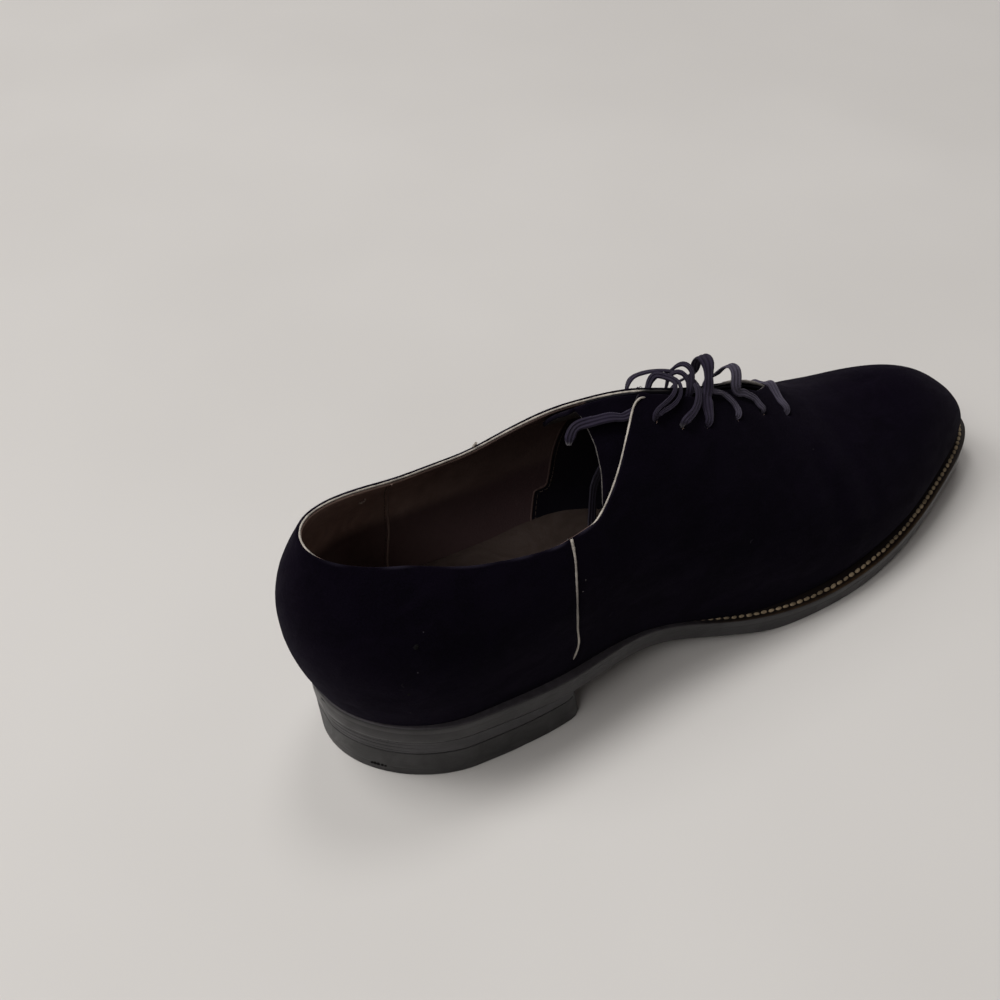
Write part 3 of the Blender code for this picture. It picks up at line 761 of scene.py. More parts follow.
def ribbon(path, normals, width=LACE_W, thick=LACE_THICK, start=0.0, end=0.0, cup=0.12,
           twist=None, frayed=(0.0, 0.0), seed=1, widths=None):
    """A flat woven lace along a dense path.

    normals say which way the face looks; start and end are lengths over which
    the lace gathers into its hole, in mm.
    """
    path = np.asarray(path, float)
    t = unit(np.gradient(path, axis=0))
    n = np.asarray(normals, float)
    n = unit(n - (n * t).sum(-1, keepdims=True) * t)
    if twist is not None:
        a = np.radians(np.interp(np.linspace(0, 1, len(path)), np.linspace(0, 1, len(twist)), twist))
        n = n * np.cos(a)[:, None] + np.cross(t, n) * np.sin(a)[:, None]
    w = np.cross(t, n)
    run = np.concatenate([[0], np.cumsum(np.linalg.norm(np.diff(path, axis=0), axis=1))])
    g = np.random.default_rng(seed)
    wob = 1 + 0.05 * np.sin(run / 3.1 + g.uniform(0, 6)) + 0.03 * np.sin(run / 1.3 + g.uniform(0, 6))
    gather_ = np.ones(len(path))
    if start:
        gather_ *= 0.42 + 0.58 * np.clip(run / start, 0, 1) ** 0.8
    if end:
        gather_ *= 0.42 + 0.58 * np.clip((run[-1] - run) / end, 0, 1) ** 0.8
    half = width / 2 * wob * gather_
    if widths is not None:
        half = np.interp(run, np.linspace(0, run[-1], len(widths)), widths) / 2 * wob * gather_
    m = 21
    s = np.linspace(-1, 1, m)
    edge_ = np.sqrt(np.clip(1 - np.abs(s) ** 5, 0, 1)) * 0.5
    rib = 0.07 * (np.cos(s * math.pi * RIBS) - 0.2) * (np.abs(s) < 0.93)
    top = edge_ + rib
    ring_s = np.concatenate([s, s[-2:0:-1]])
    ring_h = np.concatenate([top, -top[-2:0:-1]])
    bend = cup * (ring_s ** 2 - 0.33) + (0.55 * (1 - gather_))[:, None] * (np.abs(ring_s) ** 1.5)[None] * 1.2
    th = thick * (1 + 0.5 * (1 - gather_))
    rings = (path[:, None] + (half[:, None] * ring_s[None])[..., None] * w[:, None]
             + (th[:, None] * ring_h[None] - bend * half[:, None] * 0.6)[..., None] * n[:, None])
    points, faces = tube_mesh(rings)
    along = np.repeat(run, len(ring_s))
    across = np.tile(ring_s, len(path))
    fr = np.zeros(len(path))
    if frayed[0]:
        fr = np.maximum(fr, np.clip(1 - run / frayed[0], 0, 1))
    if frayed[1]:
        fr = np.maximum(fr, np.clip(1 - (run[-1] - run) / frayed[1], 0, 1))
    return points, faces, {"along": along, "across": across, "frayed": np.repeat(fr, len(ring_s))}


def lace_piece(name, keys, mat, normals=None, step=0.35, **how):
    """Ribbon through key points. normals gives one direction for each key."""
    path = curve_through(keys, step)
    if normals is None:
        n = axis_normals(path)
    else:
        normals = unit(np.asarray(normals, float))
        run = np.concatenate([[0], np.cumsum(np.linalg.norm(np.diff(np.asarray(keys, float), axis=0), axis=1))])
        here = np.linspace(0, 1, len(path)) * run[-1]
        n = np.stack([np.interp(here, run, normals[:, i]) for i in range(3)], -1)
    points, faces, layers = ribbon(path, n, **how)
    return piece(name, points, faces, [mat], layers=layers, angle=60)


# Punched holes down each side of the slit: station share and section share.
EYELETS = ((0.643, 0.731), (0.602, 0.721), (0.554, 0.692), (0.502, 0.663),
           (0.466, 0.663), (0.434, 0.702))
HOLE_R = 1.15


def eyelet(k, side, lift=0.0):
    t, c = EYELETS[k]
    return inside(t, c, side, -lift)


def dive(k, side, way, lift=0.55):
    """Last few key points of a lace going down into hole k, coming from way."""
    p0, p1, p2 = eyelet(k, side, lift), eyelet(k, side, -0.6), eyelet(k, side, -1.7)
    out = unit(np.asarray(way, float) - p0)
    return [tuple(p0 + out * 1.1 + (p0 - p2) * 0.08), tuple(p1 + out * 0.15), tuple(p2)]


def bars(mat, worn):
    """The lace's four visible crossings and the slack strands behind the loops."""
    # worn is a lighter copy of the lace paint: painted light on the first three crossings.
    near, far = -1, 1

    def over(t, c, side, lift):
        return tuple(inside(t, c, side, -lift))

    # From hole 1, straight over the crest at the slit's front end.
    way = over(0.6425, 0.800, near, 0.75)
    keys = dive(0, near, way)[::-1] + [way, over(0.6445, 0.890, near, 0.75), (191.0, -0.6, 77.35),
                                       over(0.6445, 0.90, far, 0.05), over(0.6425, 0.80, far, 0.10)]
    one = lace_piece("lace_crossing_1", keys + dive(0, far, keys[-1], 0.1), worn, start=2.0, end=2.5,
                     seed=3, widths=(2.4, 2.6, 3.0, 3.7, 3.9, 3.6, 3.2, 2.8))
    # From hole 2, a short flat run, a sharp bend at the edge, then the first arch.
    keys = dive(1, near, (177.0, -11.4, 80.4))[::-1] + [
        (176.9, -11.2, 80.7), (176.0, -9.0, 82.6), (173.6, -7.8, 84.7), (170.9, -7.2, 86.7), (168.9, -7.0, 87.7),
        (168.3, -6.5, 89.0), (169.2, -4.8, 91.6), (170.4, -2.6, 93.6), (170.6, -0.4, 94.1),
        (169.2, 1.6, 92.9), (167.3, 3.0, 90.0), (166.4, 4.6, 87.6)]
    hint = [(.1, -.6, .8)] * 3 + [(.1, -.6, .8), (.1, -.6, .8), (.15, -.6, .8), (.15, -.7, .7), (.0, -.8, .6),
                                 (-.3, -.85, .4), (-.35, -.8, .45), (-.2, -.45, .85), (0, .1, 1),
                                 (.1, .7, .6), (.1, .85, .4), (0, .8, .6)] + [(0, .6, .8)] * 3
    two = lace_piece("lace_crossing_2", keys + dive(2, far, keys[-1]), worn, hint, start=2.0, end=2.5, seed=5,
                     widths=(2.3, 2.5, 2.7, 2.7, 3.3, 4.0, 3.9, 3.7, 3.4, 3.2, 3.0, 3.0))
    # From hole 3, a narrow strand curving over the edge and low into the slit.
    way = over(0.557, 0.745, near, 0.7)
    keys = dive(2, near, way)[::-1] + [way, over(0.5535, 0.790, near, 0.8), over(0.5455, 0.838, near, 0.9),
                                       (158.6, -7.0, 92.6), (155.6, -5.6, 93.3), (152.2, -3.0, 92.6), (148.6, 0.2, 91.6)]
    three = lace_piece("lace_crossing_3", keys, worn, start=2.0, end=1.5, width=2.5, seed=7)
    # From hole 4 to the edge, folded there, then up over the tall arch.
    keys = dive(3, near, (150.6, -12.2, 91.1))[::-1] + [
        (150.8, -12.0, 91.2), (151.8, -9.9, 93.0), (152.8, -8.2, 94.2), (153.6, -7.5, 95.4), (154.5, -6.3, 98.2),
        (155.6, -4.4, 101.2), (156.3, -2.2, 103.6), (156.4, 0.2, 104.2), (156.4, 2.2, 102.2), (156.9, 3.6, 98.0),
        (157.2, 4.6, 93.6)]
    hint = [(0, -.6, .8)] * 3 + [(-.1, -.65, .75), (-.2, -.7, .7), (-.1, -.9, .4), (-.3, -.9, .3), (-.4, -.85, .35),
                                (-.4, -.8, .45), (-.3, -.4, .85), (0, .2, .95), (.1, .95, .3), (.1, 1, .1),
                                (0, .9, .4)] + [(0, .6, .8)] * 3
    four = lace_piece("lace_crossing_4", keys + dive(3, far, keys[-1]), mat, hint, start=2.0, end=2.5,
                      seed=9, widths=(2.6, 3.3, 3.9, 4.0, 3.3, 4.4, 4.7, 4.6, 4.2, 3.6, 3.2, 3.0))
    # Slack strands standing up between the tall arch and the loops.
    way = (144.6, 8.2, 95.4)
    keys = dive(4, far, way)[::-1] + [way, (145.8, 5.2, 98.4), (147.2, 3.6, 101.2), (149.2, 1.6, 103.1),
                                      (150.4, -0.8, 102.2), (149.7, -3.2, 99.4), (148.4, -4.8, 96.4), (147.2, -5.2, 93.4)]
    hint = [(0, .6, .8)] * 3 + [(0, .7, .7), (-.1, .8, .5), (-.3, .6, .7), (-.1, 0, 1), (.2, -.7, .6), (.1, -1, .2),
                                (.1, -1, .2), (0, -1, .1)]
    five = lace_piece("lace_slack_strand", keys, mat, hint, width=2.2, thick=0.9, start=2.0, seed=11)
    keys = [(141.0, 0.4, 93.4), (142.4, 1.4, 97.0), (144.0, 2.0, 100.0), (146.4, 0.6, 101.6), (148.0, -1.8, 100.2),
            (147.6, -4.2, 97.2), (146.4, -5.2, 93.6)]
    hint = [(0, .4, .3), (-.6, .6, .4), (-.6, .3, .7), (0, 0, 1), (.3, -.8, .5), (.1, -1, .2), (0, -1, .1)]
    six = lace_piece("lace_slack_strand_2", keys, mat, hint, width=2.1, thick=0.9, seed=12)
    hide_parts("lace_bars")
    return [one, two, three, four, five, six]


def free_laces(mat, dull):
    """The two loops and two ends, as flat laces along the part's routes."""
    def declare(name, points, faces, layers, path):
        # The end hanging inside under the tongue takes a darker copy of the lace: painted shade.
        paint = dull if name == "lace_end_b" else mat
        obj = piece(name.replace("lace", "flat_lace"), points, faces, [paint], layers=layers, angle=60)
        route = curve_through(path, 0.35)
        route = route[np.round(np.linspace(0, len(route) - 1, 24)).astype(int)]
        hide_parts(name)
        return obj

    def two_strands(keys, name, gap, spread_, hint, seed, fr=(0, 0), w=2.5):
        """Two narrow strands side by side, or one where gap is 0."""
        path = curve_through(keys, 0.35)
        run = np.linspace(0, 1, len(path))
        n = np.stack([np.interp(run, np.linspace(0, 1, len(hint)), np.array(hint, float)[:, i])
                      for i in range(3)], -1)
        t = unit(np.gradient(path, axis=0))
        n = unit(n - (n * t).sum(-1, keepdims=True) * t)
        wv = np.cross(t, n)
        parts, layers = [], {"along": [], "across": [], "frayed": []}
        for k, sign in enumerate((-1, 1) if gap else (0,)):
            off = sign * gap * (0.35 + 0.65 * np.sin(run * math.pi) ** 0.7)
            p = path + wv * off[:, None] + n * (sign * spread_ * np.sin(run * math.pi))[:, None]
            a, b, lay_ = ribbon(p, n, width=w, start=2.2, end=2.4, seed=seed + k, frayed=fr)
            parts.append((a, b))
            for key in layers:
                layers[key].append(lay_[key])
        points, faces = gather(parts)
        return declare(name, points, faces, {k: np.concatenate(v) for k, v in layers.items()},
                       keys)

    loop_a = (tuple(eyelet(5, 1, -0.7)), *CORDS["lace_loop_a"], tuple(eyelet(4, -1, -0.9)))
    hint = [(-.2, .7, .6), (0, .5, .8), (.2, .35, .9), (.3, .4, .85), (.35, .3, .85), (.4, .1, .9), (.45, -.2, .85),
            (.35, -.55, .75), (.2, -.75, .6), (0, -.7, .7)]
    a = two_strands(loop_a, "lace_loop_a", 0, 0, hint, 21, w=3.1, fr=(0, 3.0))
    loop_b = ((134.6, 2.4, 95.4), *CORDS["lace_loop_b"], tuple(eyelet(5, -1, -0.8)))
    hint = [(-.5, .4, .7), (-.3, .2, .9), (.1, .1, 1), (.4, -.3, .8), (.3, -.5, .8), (.1, -.7, .7),
            (0, -.7, .7)]
    b = two_strands(loop_b, "lace_loop_b", 1.30, 0.25, hint, 23, w=1.55)
    # The upper end lies under the facing, back to the last hole.
    end_a = (tuple(inside(0.434, 0.702, -1, WALL + 0.45)), tuple(inside(0.419, 0.765, -1, WALL + 0.45)),
             *CORDS["lace_end_a"])
    hint = [(0, -.5, .85), (0, -.4, .9), (0, -.3, .95), (0, -.25, .97), (0, -.3, .95), (-.1, -.3, .95),
            (-.4, -.5, .75), (-.5, -.85, .2), (-.3, -.95, .1)]
    c = two_strands(end_a, "lace_end_a", 0, 0, hint, 25, w=3.7, fr=(0, 1.6))
    end_b = CORDS["lace_end_b"]
    hint = [(-.5, -.8, .2)] * 4 + [(-.6, -.75, .2)] * 3
    d = two_strands(end_b, "lace_end_b", 0, 0, hint, 27, w=2.9, fr=(0, 2.0))
    return [a, b, c, d]


def lace_tuft(mat):
    """Frayed threads where the lace leaves the top of the slit."""
    g = np.random.default_rng(41)
    parts = []
    for k in range(16):
        a = np.array([132.4, 3.0, 98.7]) + g.normal(0, (0.7, 0.9, 0.25))
        way = unit(np.array([g.uniform(-1.0, 0.3), g.uniform(-1.0, -.1), g.uniform(0.1, 0.8)]))
        size = g.uniform(1.4, 4.2)
        s = np.linspace(0, 1, 8)[:, None]
        bow = g.normal(0, 0.5, 3)
        path = a + way * size * s + bow * (s * (1 - s)) * 2 - np.array([0, 0, 1.2]) * s ** 2
        parts.append(tube_mesh(tube(path, np.linspace(0.17, 0.05, 8), 6)))
    return join_pieces("lace_frayed_tuft", parts, [mat], None, 60)


# ---- upper: the suede and the lining ----------------------------------------
SUEDE = 1.0             # thickness of the suede layer
LINING_DEPTH = (1.06, WALL)


def even_share(points, pitch):
    """Shares 0..1 of a densely sampled line at an even pitch."""
    run = np.concatenate([[0], np.cumsum(np.linalg.norm(np.diff(points, axis=0), axis=1))])
    n = max(4, int(round(run[-1] / pitch)))
    return np.interp(np.linspace(0, run[-1], n + 1), run, np.linspace(0, 1, len(points)))


def columns(side, pitch):
    """Top station and section share of each column, and how far it opens."""
    u = np.linspace(0, 1, 900) ** 2.2
    t, c = topline_share(u, side)
    k = np.interp(even_share(last(t, c, side), pitch), np.linspace(0, 1, 900), u)
    counts = (len(k),)
    t1, c1 = topline_share(k, side)
    q = np.linspace(0, 1, int(round(58 / pitch)) + 1)[1:]
    t2, c2 = slit_share(q, side)
    u = 1 - (1 - VAMP_T) * (1 - np.linspace(0, 1, 900)) ** 2.6
    low = last(u, -1.0, side)
    mid = last(u, 0.0, side)
    top = last(u, 1.0, side)
    step = np.maximum.reduce([np.linalg.norm(np.diff(a, axis=0), axis=1) for a in (low, mid, top)])
    run = np.concatenate([[0], np.cumsum(step)])
    n = int(round(run[-1] / pitch))
    t3 = np.interp(np.linspace(0, run[-1], n + 1)[1:], run, u)
    top_t = np.concatenate([t1, t2, t3])
    top_c = np.concatenate([c1, c2, np.ones_like(t3)])
    opened = np.concatenate([np.ones_like(t1), np.clip(steady(q, SLIT) / 1.5, 0, 1), np.zeros_like(t3)])
    return top_t, top_c, opened, len(t1), len(t2)


def match_columns(pitch):
    """The same number of columns on both sides, so that they can be joined."""
    out = {side: columns(side, pitch) for side in (-1, 1)}
    n = min(out[-1][3], out[1][3])
    for side in (-1, 1):
        top_t, top_c, opened, n1, n2 = out[side]
        pick = np.round(np.linspace(0, n1 - 1, n)).astype(int)
        u = np.linspace(0, 1, 900) ** 2.2
        t, c = topline_share(u, side)
        p = last(t, c, side)
        run = np.concatenate([[0], np.cumsum(np.linalg.norm(np.diff(p, axis=0), axis=1))])
        k = np.interp(np.linspace(0, run[-1], n), run, u)
        t1, c1 = topline_share(k, side)
        out[side] = (np.concatenate([t1, top_t[n1:]]), np.concatenate([c1, top_c[n1:]]),
                     np.concatenate([opened[:n], opened[n1:]]), n, n2)
    n3 = min(len(out[-1][0]), len(out[1][0])) - n - out[1][4]
    for side in (-1, 1):
        top_t, top_c, opened, n1, n2 = out[side]
        toe = top_t[n1 + n2:]
        toe = np.interp(np.linspace(0, 1, n3), np.linspace(0, 1, len(toe)), toe)
        out[side] = (np.concatenate([top_t[:n1 + n2], toe]),
                     np.concatenate([top_c[:n1 + n2], np.ones(n3)]),
                     np.concatenate([opened[:n1 + n2], np.zeros(n3)]), n1, n2)
    toe = (out[-1][0][n + out[-1][4]:] + out[1][0][n + out[1][4]:]) / 2
    for side in (-1, 1):
        out[side][0][n + out[side][4]:] = toe
    return out


def round_ridge(g, first, reach, passes=40):
    """Softens the crest where the two sides meet, from column first on."""
    out, inn = g[-1], g[1]
    m = out.shape[1]
    row = np.concatenate([out[first:], inn[first:, -2::-1]], 1)
    w = np.zeros(row.shape[1])
    w[m - 1 - reach:m + reach] = np.hanning(2 * reach + 1)
    fade = np.clip(np.arange(len(row)) / 4.0, 0, 1)[:, None, None]
    for _ in range(passes):
        mid = (row[:, :-2] + row[:, 2:]) / 2
        row[:, 1:-1] += (mid - row[:, 1:-1]) * w[None, 1:-1, None] * 0.5 * fade
    out[first:] = row[:, :m]
    inn[first:, ::-1] = row[:, m - 1:]


def upper_grids(pitch, n_up, pull):
    """Outside of the upper: grids, normals, shares, and height along each column."""
    cols = match_columns(pitch)
    g, nrm, tc, up = {}, {}, {}, {}
    for side in (-1, 1):
        top_t, top_c, opened, n1, n2 = cols[side]
        low_t = steady(top_t, ((0, 0), (THROAT_T, THROAT_T - 0.045),
                               (VAMP_T, VAMP_T - 0.015), (1, 1)))
        v = np.linspace(0, 1, 260)
        t = low_t[:, None] + (top_t - low_t)[:, None] * v[None]
        c = -1 + (top_c + 1)[:, None] * v[None]
        p = last(t, c, side)
        arc = np.concatenate([np.zeros((len(t), 1)),
                              np.cumsum(np.linalg.norm(np.diff(p, axis=1), axis=-1), axis=1)], 1)
        total = np.maximum(arc[:, -1], 1e-6)
        w = np.linspace(0, 1, n_up + 1)
        vv = np.stack([np.interp(w * (1 - min(0.3, pull * o / L)), a / L, v)
                       for a, L, o in zip(arc, total, opened)])
        tt = low_t[:, None] + (top_t - low_t)[:, None] * vv
        cc = -1 + (top_c + 1)[:, None] * vv
        g[side] = last(tt, cc, side)
        tc[side] = (tt, cc)
        up[side] = w[None] * total[:, None]
    first = cols[1][3] + cols[1][4] - 1
    # Both sides share the points on the crest and at the heel.
    for side in (-1, 1):
        g[side][0] = (g[-1][0] + g[1][0]) / 2
    crest = (g[-1][first:, -1] + g[1][first:, -1]) / 2
    for side in (-1, 1):
        g[side][first:, -1] = crest
    round_ridge(g, first, max(4, int(9 / pitch)))
    for side in (-1, 1):
        nrm[side] = grid_normals(g[side], side)
    both = unit(nrm[-1][0] + nrm[1][0])
    crest = unit(nrm[-1][first:, -1] + nrm[1][first:, -1])
    for side in (-1, 1):
        nrm[side][0] = both
        nrm[side][first:, -1] = crest
        nrm[side][-1] = (1, 0, 0)
        # Bring the normals back to unit length.
        nrm[side] = unit(nrm[side])
    return g, nrm, tc, up, cols, first


def shell(name, grids, normals, outer, inner, first, mats, layers=None, angle=50, relief=None):
    """Closed shell between two depths under the outside, with rounded edges."""
    half = (inner - outer) / 2
    parts, values = [], {key: [] for key in (layers or {})}
    for side in (-1, 1):
        g, n = grids[side], normals[side]
        out_ = g - n * outer + (n * relief[side][..., None] if relief else 0)
        inn_ = g - n * inner
        ncol, m = g.shape[:2]
        grid_parts = [(out_.reshape(-1, 3), quads(ncol, m)),
                      (inn_.reshape(-1, 3), quads(ncol, m))]
        # Rounded top edge along the open columns, and bottom edge along all.
        k = 5
        a = np.linspace(0, math.pi, k)
        b = unit(g[:first + 1, -1] - g[:first + 1, -2])
        o_, i_ = out_[:first + 1, -1], inn_[:first + 1, -1]
        mid, arm = (o_ + i_) / 2, (o_ - i_) / 2
        op = np.ones(first + 1)
        op[-4:] = np.linspace(0.75, 0, 4)
        rim = (mid[:, None] + np.cos(a)[None, :, None] * arm[:, None]
               + (np.sin(a)[None, :, None] * half * op[:, None, None]) * b[:, None])
        grid_parts.append((rim.reshape(-1, 3), quads(first + 1, k)))
        b = unit(g[:, 0] - g[:, 1])
        b[-1] = b[-2]
        mid, arm = (out_[:, 0] + inn_[:, 0]) / 2, (out_[:, 0] - inn_[:, 0]) / 2
        low = (mid[:, None] + np.cos(a)[None, :, None] * arm[:, None]
               + (np.sin(a)[None, :, None] * half * 0.5) * b[:, None])
        grid_parts.append((low.reshape(-1, 3), quads(ncol, k)))
        for p, f in grid_parts:
            parts.append((p, f))
        for key in values:
            v = layers[key][side]
            values[key] += [v.ravel(), v.ravel(), np.repeat(v[:first + 1, -1], k), np.repeat(v[:, 0], k)]
    points, faces = gather(parts)
    return piece(name, points, faces, mats, weld=0.012, angle=angle,
                 layers={key: np.concatenate(v) for key, v in values.items()})


# Back seam of the vamp, from the collar to the welt: share pairs on the
# outside of the outer and inner side.
SEAM_OUT = ((0.2815, 0.378), (0.279, 0.300), (0.275, 0.233), (0.2705, 0.125), (0.2695, 0.0),
            (0.2715, -0.217), (0.2725, -0.40), (0.2705, -0.56), (0.265, -0.755))
SEAM_IN = ((0.266, 0.452), (0.266, 0.36), (0.267, 0.24), (0.267, 0.12), (0.266, 0.0),
           (0.267, -0.22), (0.268, -0.42), (0.266, -0.58), (0.261, -0.77))


def seam_line(side, depth=0.0, n=90):
    rows = np.array(SEAM_OUT if side < 0 else SEAM_IN)
    run = np.linspace(0, 1, len(rows))
    s = np.linspace(0, 1, n)
    t, c = smooth(s, run, rows[:, 0]), smooth(s, run, rows[:, 1])
    return inside(t, c, side, depth)


# Soft creases of the worn upper: side, depth (trough +, ridge -), width, and
# key share pairs (station, section).
CREASES = (
    (-1, 0.42, 4.2, ((0.640, 0.60), (0.655, 0.40), (0.660, 0.15), (0.655, -0.20))),
    (-1, -0.38, 5.0, ((0.668, 0.72), (0.685, 0.45), (0.692, 0.15), (0.686, -0.25))),
    (-1, 0.36, 4.6, ((0.700, 0.90), (0.716, 0.55), (0.724, 0.20), (0.716, -0.15))),
    (1, 0.42, 4.4, ((0.645, 0.65), (0.662, 0.42), (0.670, 0.15), (0.662, -0.20))),
    (1, -0.36, 5.2, ((0.672, 0.80), (0.692, 0.50), (0.700, 0.15), (0.692, -0.25))),
    (1, 0.34, 4.6, ((0.702, 0.90), (0.722, 0.55), (0.732, 0.18), (0.724, -0.20))),
    (-1, 0.45, 6.5, ((0.300, 0.16), (0.345, 0.02), (0.392, -0.10), (0.430, -0.25))),
    (-1, -0.30, 7.0, ((0.310, -0.10), (0.360, -0.26), (0.410, -0.42))),
    (-1, 0.32, 6.0, ((0.110, 0.10), (0.160, -0.02), (0.215, -0.06))),
    (-1, -0.30, 7.5, ((0.060, -0.20), (0.120, -0.30), (0.190, -0.34))),
    (1, 0.42, 6.5, ((0.295, 0.18), (0.345, 0.04), (0.395, -0.08), (0.440, -0.22))),
    (1, -0.30, 7.0, ((0.305, -0.12), (0.360, -0.26), (0.415, -0.40))),
    (1, 0.32, 6.0, ((0.105, 0.12), (0.160, 0.02), (0.215, -0.02))),
)


def suede_relief(grids, shares_, ups, totals):
    """Height of the suede above its even form, in mm."""
    out = {}
    for side in (-1, 1):
        p = grids[side]
        h = 0.16 * ripple(p, 34, 5) + 0.05 * ripple(p, 9, 6)
        for s, depth, width, keys in CREASES:
            if s != side:
                continue
            k = np.array(keys)
            run = np.linspace(0, 1, 30)
            line = last(smooth(run, np.linspace(0, 1, len(k)), k[:, 0]),
                        smooth(run, np.linspace(0, 1, len(k)), k[:, 1]), side)
            d, share = near_line(p, line)
            wob = 1 + 0.25 * ripple(p, 12, 17)
            h = h - depth * soft(d, width * wob) * np.clip(np.sin(np.clip(share, 0.02, 0.98) * math.pi), 0, 1) ** 0.7
        # The two pieces meet in a slight groove at the back seam.
        d, share = near_line(p, seam_line(side, 0.0, 40))
        h = h - 0.34 * soft(d, 1.35) + 0.14 * soft(d - 2.6, 1.5)
        # Seat marks of the last near the welt, and no change at the edges.
        up, total = ups[side], totals[side][:, None]
        # No change at the edges: the relief fades out near the welt and at the top.
        h = h * np.clip((total - up) / 3.5, 0, 1) * np.clip(up / 3.0, 0, 1)
        # Lacing pulls the holes in a little.
        for k in range(len(EYELETS)):
            e = eyelet(k, side)
            r = np.linalg.norm(p - e, axis=-1)
            h = h - 0.30 * soft(r, 2.1) + 0.10 * soft(r - 3.2, 1.2)
        out[side] = h
    return out


def cut_holes(objs):
    """Punches the lacing holes through the suede and the lining."""
    parts = []
    for side in (-1, 1):
        for k in range(len(EYELETS)):
            a, b = eyelet(k, side, 2.0), eyelet(k, side, -3.4)
            parts.append(tube_mesh(tube(np.linspace(a, b, 4), HOLE_R, 20)))
    points, faces = gather(parts)
    cutter = piece("hole_cutter", points, faces, [objs[0].data.materials[0]], ride=False)
    for obj in objs:
        mod = obj.modifiers.new("holes", "BOOLEAN")
        mod.operation = "DIFFERENCE"
        mod.object = cutter
        mod.solver = "EXACT"
        with bpy.context.temp_override(object=obj, active_object=obj):
            bpy.context.view_layer.objects.active = obj
            bpy.ops.object.modifier_apply(modifier=mod.name)
    bpy.data.objects.remove(cutter, do_unlink=True)


def make_upper():
    suede, lining = suede_paint(), lining_paint()
    pitch = 1.28
    g, n, tc, up, cols, first = upper_grids(pitch, 74, 0.5)
    for side in (-1, 1):
        g[side][..., 2] += 0.08
    totals = {s: up[s][:, -1] for s in (-1, 1)}
    relief = suede_relief(g, tc, up, totals)
    rims = {}
    for side in (-1, 1):
        t = tc[side][0]
        away = totals[side][:, None] - up[side]
        # worn here is the strength of the painted highlight along the suede's top edge at each column, not wear; rims
        # keeps it to a band 0.9 mm deep.
        worn = np.interp(t, (0, 0.03, 0.30, 0.36, 0.40, 0.62, 0.66), (0.25, 0.75, 0.75, 0.35, 0.2, 0.3, 0)) \
            * np.clip(0.6 + 0.6 * ripple(g[side], 7, 91), 0.15, 1)
        rims[side] = np.clip(1 - away / 0.9, 0, 1) * worn
        rims[side][first + 1:] = 0
    outer = shell("upper_suede", g, n, 0.0, SUEDE, first, [suede], {"rim": rims}, relief=relief)
    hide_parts("upper")

    g, n, tc, up, cols, first = upper_grids(1.55, 60, 0.75)
    layers = {"low": {}, "fore": {}, "vamp": {}, "mark": {}}
    for side in (-1, 1):
        t, c = tc[side]
        p = inside(np.clip(t, 0, 0.995), np.clip(c, -1, 0.995), side, WALL)
        # vamp: share past the quarter lining's front edge, which the paint takes nearly black, partly painted shade.
        cut = np.interp(c, (-0.735, -0.481, -0.158, -0.129, 0.066, 1.0),
                        (0.349, 0.357, 0.365, 0.382, 0.386, 0.386))
        vamp = np.clip((t - cut) / 0.004, 0, 1)
        vamp = vamp * vamp * (3 - 2 * vamp)
        layers["vamp"][side] = vamp
        # low and fore: masks of the lining's darkening, partly its own tone and partly painted shade, below a wavy
        # line 58 to 70 mm up and toward the front.
        line = np.interp(p[..., 0], (0, 30, 60, 110), (70, 66, 60, 58)) + 2.0 * ripple(p, 40, 14)
        layers["low"][side] = np.clip((line - p[..., 2]) / 9, 0, 1)
        layers["fore"][side] = np.clip((p[..., 0] - 18) / 75, 0, 1)
        layers["mark"][side] = np.zeros(t.shape)
        # A belly between the seams is worked out below but scaled by zero, so the lining keeps its even form.
        wave = 0.10 * ripple(p, 22, 8) + 0.05 * ripple(p, 7, 9)
        g[side] = g[side] + n[side] * (wave - 0.28 * (1 - vamp))[..., None] * np.clip(
            (up[side][:, -1:] - up[side]) / 4, 0, 1)[..., None] * 0.0
    inner = shell("upper_lining", g, n, LINING_DEPTH[0], LINING_DEPTH[1], first, [lining], layers)
    return outer, inner, suede, lining


CURL = 0.795            # topline share where the near cord leaves the edge


